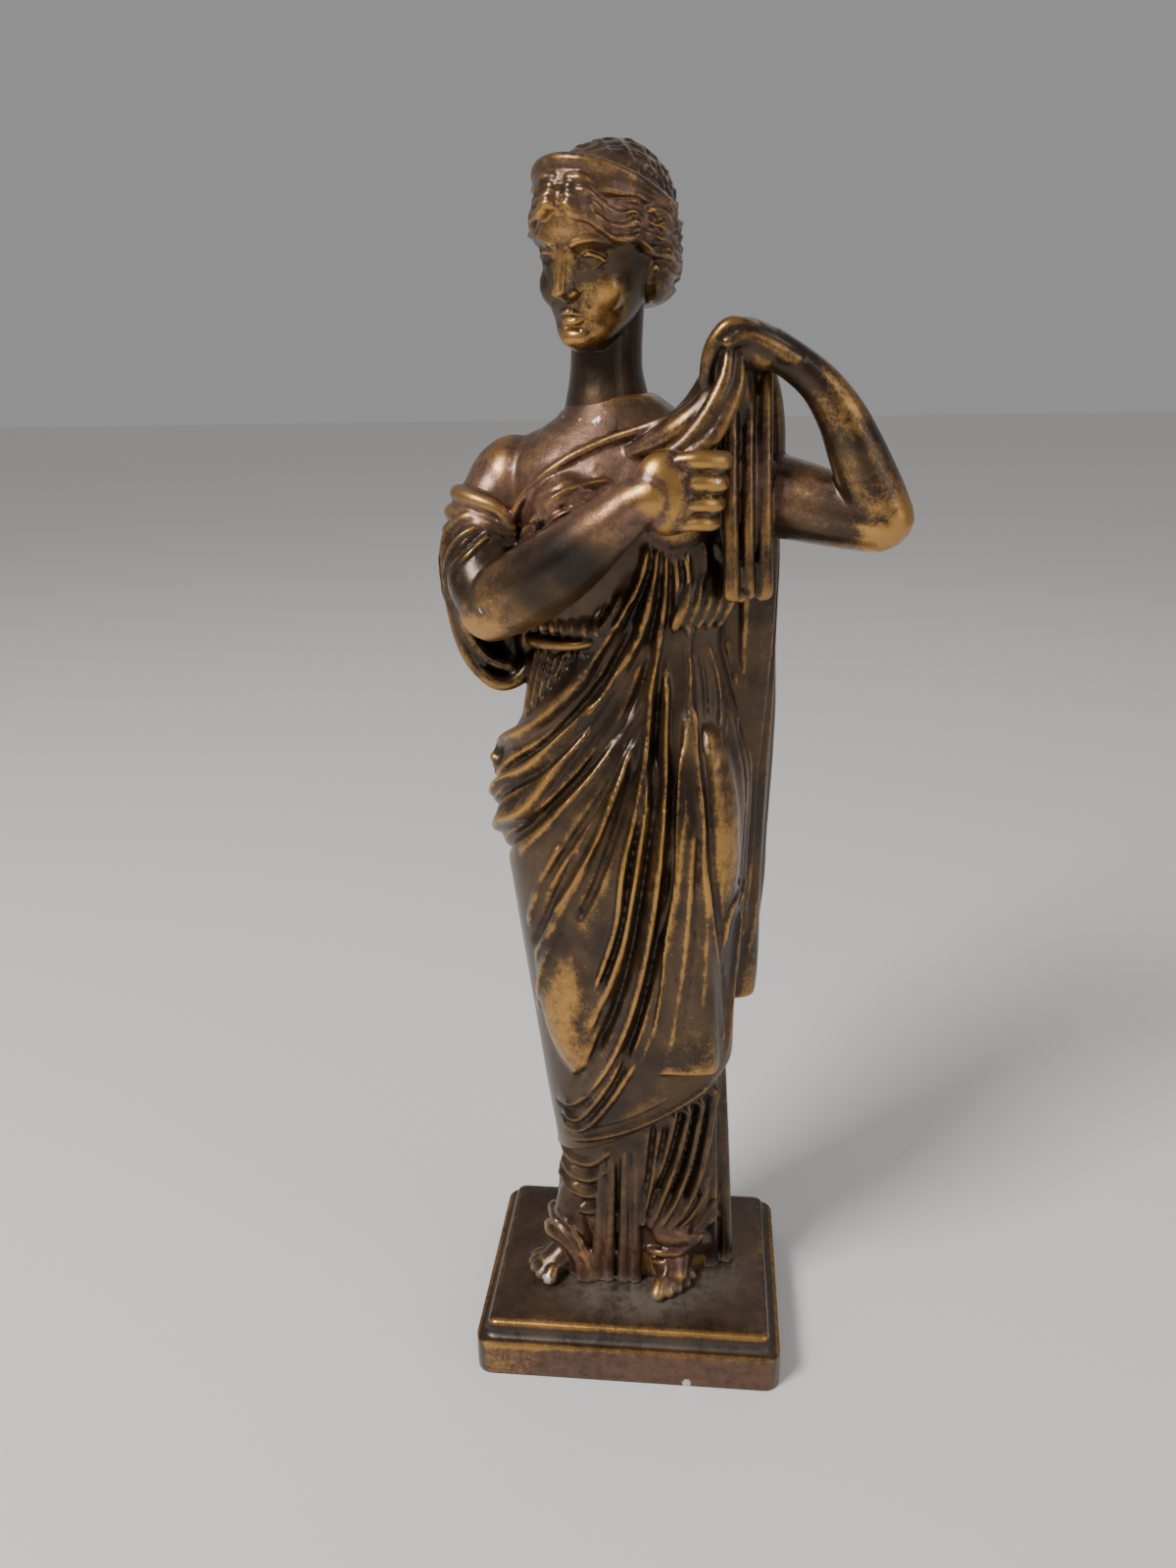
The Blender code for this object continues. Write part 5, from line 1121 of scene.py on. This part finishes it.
# Where the figure is rubbed bright or chipped: places (x, y, z) on its grid, radius, share
BODY_GOLD = (
    ((-16, -24, 106), 34, 0.24), ((-34, -18, 178), 24, 0.28), ((-34, -18, 222), 12, 0.5),
    ((66, -12, 250), 13, 0.45), ((52, -16, 278), 14, 0.3), ((16, -36, 260), 15, 0.35),
    ((15, -24, 150), 40, 0.2), ((18, -28, 96), 16, 0.2), ((9.2, -23.2, 3.6), 3.2, 0.9),
    ((12.8, -21.8, 3.4), 2.8, 0.9),
)
BODY_CHIPS = (((24.5, -38, 262), 1.8, 0.9), ((-37.5, -26, 228), 1.6, 0.9), ((-27.4, -18.4, 4), 2.4, 1))
HEAD_GOLD = (
    ((-5, -16, 301), 11.5, 0.6), ((-12, -12.5, 294.5), 8, 0.5), ((-14, -21, 318), 11, 0.5),
    ((-8, -21, 317), 6, 0.2), ((-16, -20.5, 308), 7, 0.4), ((-13.5, -16.5, 298.6), 2.6, 0.5),
    ((-20, -14, 326), 7, 0.25), ((-2, -16, 326), 9, 0.2),
)
HEAD_CHIPS = (
    ((-17.5, -21.5, 305), 2.0, 0.9), ((-17, -14, 331), 2.0, 0.9), ((3, -12, 326), 3, 0.9),
    ((9, -10, 326), 2.6, 0.8),
)


def spots(points, table):
    """The shares of all the spots of a table, added up at each point."""
    return sum(share * spot(points, *place, radius) for place, radius, share in table)


def body_marks(points):
    """The figure's masks: where it is worn to gold, blushes copper, gathers dust and is chipped, and a
    painted dark reflection on the right forearm.
    """
    x, y, z = points.T
    gold = 0.43 + spots(points, BODY_GOLD) - 0.2 * step(-z, -84, -70) * step(z, 10, 18)
    copper = 0.9 * step(z, 244, 254) * step(-z, -292, -262) * step(-y, -4, 6) * step(-x, -24, -6)
    copper += 0.7 * step(z, 246, 254) * step(-z, -272, -262) * step(-x, -60, -36) * step(x, 22, 32)
    copper += 0.6 * step(-z, -34, -10) * step(-np.abs(x + 2), -30, -16)
    dust = step(-z, -7, -0.5)
    above_seam = z - 276.3 + 1.5 * np.clip((2 - y) / 12.7, 0, 1)
    seam = np.clip(1 - np.abs(above_seam) / 0.6, 0, 1) * step(-np.abs(x + 10), -7.5, -6.5) * step(-y, 2, 5)
    chip = spots(points, BODY_CHIPS) + 0.8 * seam
    # Painted dark reflection on top of the right forearm: two spots darkened like the hollows, with their
    # gold rub taken off.
    dark = np.maximum(spot(points, -21, -29, 236, 13), spot(points, -11, -33, 243, 14)) * 0.8
    gold -= 0.3 * spot(points, -21, -29, 238, 15) + 0.3 * spot(points, -10, -33, 245, 16)
    return {"gold": gold, "copper": copper, "dust": dust, "chip": chip, "dark": dark}


def head_marks(points):
    """The head's masks: gold on the face and the band, copper on the brow, chips on the nose and a lock, and
    a faint painted shade beside the nose.
    """
    x, y, z = points.T
    ahead = step(-y, 2, 12)
    hair = np.maximum(step(z, 316, 322), step(x, 2, 6)) * step(z, 296, 300)
    gold = 0.28 + 0.36 * hair + 0.16 * ahead * step(z, 291, 296) * (1 - hair) + spots(points, HEAD_GOLD)
    copper = 0.7 * step(z, 314, 319) * step(-z, -328, -324) * ahead
    copper += 0.35 * step(z, 326, 331) * step(-z, -338, -334) * ahead
    # Painted shade: a faint dark spot beside the nose, darkened like the hollows.
    dark = 0.2 * spot(points, -10, -15, 311, 5)
    return {"gold": gold, "copper": copper, "dust": 0 * x, "chip": spots(points, HEAD_CHIPS), "dark": dark}


class Board:
    """A node tree and short ways to place nodes on it."""

    def __init__(self, tree):
        self.tree = tree
        self.placed = 0

    def node(self, kind, **settings):
        """Places a node of a kind, with its settings, in the next free place."""
        made = self.tree.nodes.new(kind)
        for name, value in settings.items():
            setattr(made, name, value)
        made.location = (200 * (self.placed % 9), -260 * (self.placed // 9))
        self.placed += 1
        return made

    def feed(self, socket, value):
        """Links a socket to another one, or gives it a number or a colour."""
        if isinstance(value, bpy.types.NodeSocket):
            self.tree.links.new(value, socket)
        elif socket.type == "RGBA":
            socket.default_value = (*value[:3], 1)
        else:
            socket.default_value = value

    def maths(self, operation, first, second=0.0):
        """One operation on two numbers."""
        made = self.node("ShaderNodeMath", operation=operation)
        self.feed(made.inputs[0], first)
        self.feed(made.inputs[1], second)
        return made.outputs[0]

    def ramp(self, value, low, high, bottom=0.0, top=1.0):
        """The value carried smoothly from low..high to bottom..top."""
        made = self.node("ShaderNodeMapRange", interpolation_type="SMOOTHSTEP")
        for socket, number in zip(made.inputs, (value, low, high, bottom, top)):
            self.feed(socket, number)
        return made.outputs[0]

    def swing(self, noise, amount):
        """A noise's swing to both sides of its middle, times an amount."""
        return self.maths("MULTIPLY", self.maths("SUBTRACT", noise, 0.5), amount)

    def blend(self, amount, under, over):
        """One colour laid over another by an amount from 0 to 1."""
        made = self.node("ShaderNodeMix", data_type="RGBA")
        self.feed(made.inputs[0], amount)
        self.feed(made.inputs[6], under)
        self.feed(made.inputs[7], over)
        return made.outputs[2]

    def noise(self, place, scale, detail, roughness=0.6):
        """A cloudy pattern in space, finer where scale is larger."""
        made = self.node("ShaderNodeTexNoise")
        self.feed(made.inputs["Vector"], place)
        made.inputs["Scale"].default_value = scale
        made.inputs["Detail"].default_value = detail
        made.inputs["Roughness"].default_value = roughness
        return made.outputs[0]

    def mark(self, name):
        """A number kept at each point of the mesh."""
        return self.node("ShaderNodeAttribute", attribute_name=name).outputs["Fac"]


COLOUR_SOCKETS = ("Ground", "Bloom", "Gold", "Copper", "Grime and Painted Shade", "Dust", "Bare Metal")
MASK_SOCKETS = ("Crest", "Hollow and Painted Shade", "Gold Mask", "Copper Mask", "Dust Mask", "Chip Mask")


def patina_group():
    """The worn patina as a node group: brown ground, gold worn onto the ridges with a painted highlight where
    asked, copper blush, near-black in the hollows and as painted shade, chips.
    """
    group = bpy.data.node_groups.get("worn_patina")
    if group:
        return group
    group = bpy.data.node_groups.new("worn_patina", "ShaderNodeTree")
    for name in COLOUR_SOCKETS:
        group.interface.new_socket(name, in_out="INPUT", socket_type="NodeSocketColor")
    for name in MASK_SOCKETS:
        group.interface.new_socket(name, in_out="INPUT", socket_type="NodeSocketFloat")
    group.interface.new_socket("Color", in_out="OUTPUT", socket_type="NodeSocketColor")
    for name in ("Roughness", "Metallic", "Height"):
        group.interface.new_socket(name, in_out="OUTPUT", socket_type="NodeSocketFloat")
    board = Board(group)
    given = board.node("NodeGroupInput").outputs
    place = board.node("ShaderNodeTexCoord").outputs["Object"]
    cloud = board.noise(place, 55, 5)
    mottle = board.noise(place, 320, 5, 0.7)
    grain = board.noise(place, 1400, 3, 0.7)
    ground = board.blend(board.ramp(cloud, 0.35, 0.68), given["Ground"], given["Bloom"])
    blush = board.maths("MULTIPLY", given["Copper Mask"], board.ramp(mottle, 0.34, 0.62, 0.35, 1))
    ground = board.blend(blush, ground, given["Copper"])
    stand = board.maths("ADD", given["Crest"], board.swing(mottle, 1.5))
    stand = board.maths("ADD", stand, board.swing(grain, 1.0))
    stand = board.maths("ADD", stand, board.swing(cloud, 0.8))
    stand = board.maths("ADD", stand, board.ramp(given["Gold Mask"], 0.5, 1.0, 0, 0.6))
    # Gold on the worn ridges, and on the plinth's front face a painted highlight.
    rubbed_and_painted_highlight = board.maths("MULTIPLY", board.ramp(stand, 0.15, 1.1), board.ramp(given["Gold Mask"], 0, 0.7))
    ground = board.blend(rubbed_and_painted_highlight, ground, given["Gold"])
    # Near-black in the hollows, and painted shade where a piece's marks put it.
    darkening = board.ramp(board.maths("ADD", given["Hollow and Painted Shade"], board.swing(mottle, 0.5)), 0.2, 1.0, 0, 0.9)
    ground = board.blend(darkening, ground, given["Grime and Painted Shade"])
    patches = board.ramp(board.maths("ADD", mottle, cloud), 0.7, 1.15, 0.3, 1.0)
    dusty = board.maths("MULTIPLY", given["Dust Mask"], patches)
    ground = board.blend(dusty, ground, given["Dust"])
    ragged = board.maths("MULTIPLY", given["Chip Mask"], board.ramp(mottle, 0.36, 0.6, 0.4, 1.25))
    chipped = board.ramp(ragged, 0.42, 0.55)
    ground = board.blend(chipped, ground, given["Bare Metal"])
    rough = board.maths(
        "ADD", board.ramp(cloud, 0.3, 0.7, 0.25, 0.38), board.maths("MULTIPLY", darkening, 0.12),
    )
    rough = board.maths("ADD", rough, board.maths("MULTIPLY", dusty, 0.25))
    metal = board.maths("ADD", board.maths("MULTIPLY", rubbed_and_painted_highlight, 0.25), 0.65)
    metal = board.maths("SUBTRACT", metal, board.maths("MULTIPLY", dusty, 0.4))
    height = board.maths(
        "ADD", board.maths("MULTIPLY", grain, 0.35), board.maths("MULTIPLY", mottle, 0.65),
    )
    out = board.node("NodeGroupOutput")
    for name, socket in (
        ("Color", ground), ("Roughness", rough), ("Metallic", metal), ("Height", height),
    ):
        board.feed(out.inputs[name], socket)
    return group


def bronze(name, colours, relief_depth):
    """A piece's own patinated bronze, with the colours for the worn patina's sockets."""
    material = bpy.data.materials.new(name)
    material.use_nodes = True
    board = Board(material.node_tree)
    shader = material.node_tree.nodes["Principled BSDF"]
    patina = board.node("ShaderNodeGroup", node_tree=patina_group())
    for socket, colour in zip(COLOUR_SOCKETS, colours):
        board.feed(patina.inputs[socket], colour)
    for socket, mark in zip(MASK_SOCKETS, ("crest", "hollow_and_painted_shade", "gold", "copper", "dust", "chip")):
        board.feed(patina.inputs[socket], board.mark(mark))
    bump = board.node("ShaderNodeBump")
    bump.inputs["Strength"].default_value = 0.35
    bump.inputs["Distance"].default_value = relief_depth
    board.feed(bump.inputs["Height"], patina.outputs["Height"])
    board.feed(shader.inputs["Base Color"], patina.outputs["Color"])
    board.feed(shader.inputs["Roughness"], patina.outputs["Roughness"])
    board.feed(shader.inputs["Metallic"], patina.outputs["Metallic"])
    board.feed(shader.inputs["Normal"], bump.outputs["Normal"])
    shader.inputs["Coat Weight"].default_value = 0.18
    shader.inputs["Coat Roughness"].default_value = 0.22
    return material


def set_in_frame(mesh, name, node, material):
    """Makes the finished mesh a piece that stands for a node of the frame and rides with it."""
    mesh.materials.clear()
    mesh.materials.append(material)
    mesh.polygons.foreach_set("use_smooth", [True] * len(mesh.polygons))
    piece = bpy.data.objects.new(name, mesh)
    bpy.context.scene.collection.objects.link(piece)
    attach(piece, "root")
    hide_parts(node)
    return piece


def figure_place():
    """Carries the figure's grid onto the plinth, in metres."""
    return Matrix.Translation((0, 0, PLINTH_HEIGHT)) @ Matrix.Scale(FIGURE_HEIGHT / GRID_HEIGHT, 4)


def marked(mesh, marks, rounds, crest_reach, hollow_reach):
    """Writes on a grid mesh how far its points stand out or lie in, and the masks that a function gives; its
    painted shade joins the darkening of the hollows.
    """
    points, normals, (fine, broad) = relief(mesh, rounds)
    write(mesh, "crest", step(fine / crest_reach + broad / (8 * crest_reach), 0.08, 1.1))
    masks = marks(points)
    darkening = step(-fine / hollow_reach - broad / (4 * hollow_reach), 0.2, 1.5)
    # One attribute carries both the patina darkening in the hollows and the painted shade.
    write(mesh, "hollow_and_painted_shade", np.maximum(darkening, masks.pop("dark")))
    for name, values in masks.items():
        write(mesh, name, np.clip(values, 0, 1))


class FigureSettings(PropertyGroup):
    """How finely the figure and the head are made."""

    skin: FloatProperty(
        name="Skin grid", description="Size of the grid the figure's forms are fused on, in millimetres",
        default=0.55, min=0.3, max=2,
    )
    triangles: IntProperty(
        name="Triangles", description="Triangles the figure is thinned to", default=190000, min=5000,
        max=199000,
    )
    head_skin: FloatProperty(
        name="Head grid", description="Size of the grid the head's forms are fused on, in millimetres",
        default=0.3, min=0.2, max=1,
    )
    head_triangles: IntProperty(
        name="Head triangles", description="Triangles the head is thinned to", default=150000, min=5000,
        max=199000,
    )


def colour(name, value, description):
    """A colour setting with its name, its start and what it is for."""
    return FloatVectorProperty(
        name=name, description=description, subtype="COLOR", size=3, min=0, max=1, default=value,
    )


class FinishSettings(PropertyGroup):
    """The colours of the worn patina."""

    ground: colour("Ground", (0.034, 0.020, 0.012), "The dark brown patina")
    bloom: colour("Bloom", (0.090, 0.051, 0.024), "The lighter brown where the patina is thin")
    # Also laid as a painted highlight on the plinth's front face.
    gold: colour("Gold", (0.46, 0.245, 0.07), "Bronze rubbed bright on the ridges")
    # Near-black in the hollows, also laid as painted shade: a dark reflection on the right forearm and a
    # faint shade beside the nose.
    copper: colour("Copper", (0.22, 0.11, 0.07), "The coppery blush on skin and hem")
    grime_and_painted_shade: colour("Grime and Painted Shade", (0.008, 0.006, 0.005), "What fills the hollows")
    dust: colour("Dust", (0.20, 0.18, 0.15), "Pale dust at the feet")
    bare: colour("Bare metal", (0.62, 0.60, 0.56), "Chips through the patina")

    def row(self):
        """The colours in the order of the patina's sockets."""
        return (self.ground, self.bloom, self.gold, self.copper, self.grime_and_painted_shade, self.dust, self.bare)


class StageSettings(PropertyGroup):
    """The floor's colour and the lamps' power."""

    floor: colour("Floor", (0.90, 0.88, 0.85), "The plain pale floor")
    key: FloatProperty(
        name="Key light", description="Power of the large soft light", default=20.0, min=0,
        subtype="POWER",
    )
    fill: FloatProperty(
        name="Fill light", description="Power of the weak light from the right", default=3.0, min=0,
        subtype="POWER",
    )


class STATUETTE_OT_figure(Operator):
    """Build the draped figure below the neck"""

    bl_idname = "statuette.figure"
    bl_label = "Draped Figure"

    def execute(self, context):
        settings = context.scene.statuette_figure
        mesh = finished(figure_mesh(settings.skin), settings.triangles)
        marked(mesh, body_marks, (4, 18), 0.23, 0.27)
        mesh.transform(figure_place())
        material = bronze("figure_patina", context.scene.statuette_finish.row(), 0.00035)
        set_in_frame(mesh, "statue_figure", "figure", material)
        return {"FINISHED"}


class STATUETTE_OT_head(Operator):
    """Build the head and neck with the dressed hair"""

    bl_idname = "statuette.head"
    bl_label = "Head and Hair"

    def execute(self, context):
        settings = context.scene.statuette_figure
        clay = Clay()
        neck(clay)
        clay.take(head_mesh(settings.head_skin))
        mesh = thinned(fused(clay.mesh("head"), settings.head_skin, 0.1), settings.head_triangles)
        marked(mesh, head_marks, (5, 22), 0.15, 0.17)
        mesh.transform(figure_place())
        material = bronze("head_patina", context.scene.statuette_finish.row(), 0.0003)
        set_in_frame(mesh, "statue_head", "figure", material)
        return {"FINISHED"}


class STATUETTE_OT_plinth(Operator):
    """Build the stepped plinth with the low mound she stands on"""

    bl_idname = "statuette.plinth"
    bl_label = "Stepped Plinth"

    def execute(self, context):
        mesh = plinth_mesh()
        points = np.array([vert.co[:] for vert in mesh.vertices])
        x, y, z = points.T
        inset = np.minimum(PLINTH_WIDTH / 2 - np.abs(x), PLINTH_DEPTH / 2 - np.abs(y))
        ahead = step(-y, 0.030, 0.036)
        bead = step(
            -np.abs(z - PLINTH_HEIGHT + 0.0006), -0.0016, -0.0003,
        ) * step(-inset, -0.0068, -0.0050)
        lip = step(-np.abs(z - SLAB_HEIGHT), -0.0016, -0.0002) * step(-inset, -0.0018, -0.0008)
        face = step(-inset, -0.0009, -0.0002) * ahead
        cove = step(-np.abs(z - SLAB_HEIGHT - 0.0016), -0.0018, -0.0006) * step(inset, 0.0012, 0.0026)
        feet = step(
            -np.hypot((x - 0.002) / 0.040, (y + 0.006) / 0.030), -1.0, -0.55,
        ) * step(z, PLINTH_HEIGHT - 0.0004, PLINTH_HEIGHT)
        nick = np.linalg.norm(points - np.array((0.018, -PLINTH_DEPTH / 2, 0.0008)), axis=1)
        write(mesh, "crest", np.clip(0.9 * bead * (0.35 + 0.65 * ahead) + 0.6 * lip, 0, 1))
        # Darkened: the cove, and a band along the bottom edge.
        write(mesh, "hollow_and_painted_shade", np.clip(0.8 * cove + 0.7 * step(-z, -0.0012, -0.0002), 0, 1))
        # Gold: wear on the bead and the lip, and a painted highlight across the front face, growing toward
        # the left, the key light's side.
        write(
            mesh, "gold",
            np.clip(
                0.2 + 0.75 * bead * (0.4 + 0.6 * ahead) + 0.4 * lip + 0.7 * face * step(-x, -0.01, 0.05),
                0, 1,
            ),
        )
        write(mesh, "copper", 0.2 + 0.3 * face)
        write(mesh, "dust", np.clip(0.75 * feet + 0.35 * cove * ahead, 0, 1))
        write(mesh, "chip", step(-nick, -0.0022, -0.0008))
        material = bronze("plinth_patina", context.scene.statuette_finish.row(), 0.0005)
        set_in_frame(mesh, "statue_plinth", "plinth", material)
        return {"FINISHED"}


def lamp(name, place, size, power):
    """A soft rectangular lamp that is aimed at the middle of the statuette."""
    data = bpy.data.lights.new(name, "AREA")
    data.shape = "RECTANGLE"
    data.size, data.size_y = size
    data.energy = power
    made = bpy.data.objects.new(name, data)
    made.location = place
    made.rotation_mode = "QUATERNION"
    made.rotation_quaternion = (Vector(LAMP_AIM) - Vector(place)).to_track_quat("-Z", "Y")
    bpy.context.scene.collection.objects.link(made)
    return made


class STATUETTE_OT_stage(Operator):
    """Lay the pale floor, hang the soft lights and set the camera"""

    bl_idname = "statuette.stage"
    bl_label = "Stage"

    def execute(self, context):
        settings = context.scene.statuette_stage
        shape = bmesh.new()
        bmesh.ops.create_grid(shape, x_segments=1, y_segments=1, size=6)
        mesh = bpy.data.meshes.new("pale_floor")
        shape.to_mesh(mesh)
        shape.free()
        material = bpy.data.materials.new("pale_floor")
        material.use_nodes = True
        shader = material.node_tree.nodes["Principled BSDF"]
        shader.inputs["Base Color"].default_value = (*settings.floor, 1)
        shader.inputs["Roughness"].default_value = 0.75
        mesh.materials.append(material)
        floor = bpy.data.objects.new("pale_floor", mesh)
        context.scene.collection.objects.link(floor)
        lights = [
            lamp("key_light", (-0.75, -0.75, 1.15), (0.42, 0.42), settings.key),
            lamp("fill_light", (1.0, -0.55, 0.6), (0.7, 0.9), settings.fill),
            lamp("back_light", (0.35, 1.0, 0.9), (0.8, 0.5), 0.15 * settings.fill),
        ]
        world = bpy.data.worlds.new("soft_studio")
        world.use_nodes = True
        sky = world.node_tree.nodes["Background"]
        sky.inputs["Color"].default_value = WORLD_COLOUR
        sky.inputs["Strength"].default_value = WORLD_STRENGTH
        context.scene.world = world
        self.place_camera(context.scene)
        return {"FINISHED"}

    def place_camera(self, scene):
        """Stands the camera where the photograph was taken: above the head's height and close in front."""
        pitch, yaw, roll = (math.radians(angle) for angle in CAMERA_ANGLES)
        ahead = Vector(
            (-math.sin(yaw) * math.cos(pitch), math.cos(yaw) * math.cos(pitch), -math.sin(pitch))
        )
        level = Vector((math.cos(yaw), math.sin(yaw), 0))
        rise = level.cross(ahead)
        right = math.cos(roll) * level + math.sin(roll) * rise
        up = math.cos(roll) * rise - math.sin(roll) * level
        data = bpy.data.cameras.new("photo_camera")
        data.sensor_width = 36
        data.lens = CAMERA_LENS
        data.clip_start = 0.01
        camera = bpy.data.objects.new("photo_camera", data)
        turn = Matrix((right, up, -ahead)).transposed().to_4x4()
        camera.matrix_world = Matrix.Translation(CAMERA_PLACE) @ turn
        scene.collection.objects.link(camera)
        scene.camera = camera


class STATUETTE_PT_panel(Panel):
    """The statuette's pieces and settings"""

    bl_idname = "STATUETTE_PT_panel"
    bl_label = "Robed Woman Statuette"
    bl_space_type = "VIEW_3D"
    bl_region_type = "UI"
    bl_category = "Statuette"

    def draw(self, context):
        for settings in (
            context.scene.statuette_figure, context.scene.statuette_finish, context.scene.statuette_stage,
        ):
            for name in settings.__annotations__:
                self.layout.prop(settings, name)
        for operator in OPERATORS:
            self.layout.operator(operator.bl_idname)


OPERATORS = (STATUETTE_OT_figure, STATUETTE_OT_head, STATUETTE_OT_plinth, STATUETTE_OT_stage)
SETTINGS = {
    "statuette_figure": FigureSettings, "statuette_finish": FinishSettings,
    "statuette_stage": StageSettings,
}


def register():
    for name, settings in SETTINGS.items():
        bpy.utils.register_class(settings)
        setattr(bpy.types.Scene, name, PointerProperty(type=settings))
    for operator in OPERATORS:
        bpy.utils.register_class(operator)
    bpy.utils.register_class(STATUETTE_PT_panel)


def unregister():
    bpy.utils.unregister_class(STATUETTE_PT_panel)
    for operator in reversed(OPERATORS):
        bpy.utils.unregister_class(operator)
    for name, settings in SETTINGS.items():
        delattr(bpy.types.Scene, name)
        bpy.utils.unregister_class(settings)


def main():
    register()
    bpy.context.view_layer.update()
    bpy.ops.statuette.figure()
    bpy.ops.statuette.head()
    bpy.ops.statuette.plinth()
    bpy.ops.statuette.stage()
    bpy.context.view_layer.update()


if __name__ == "__main__":
    main()
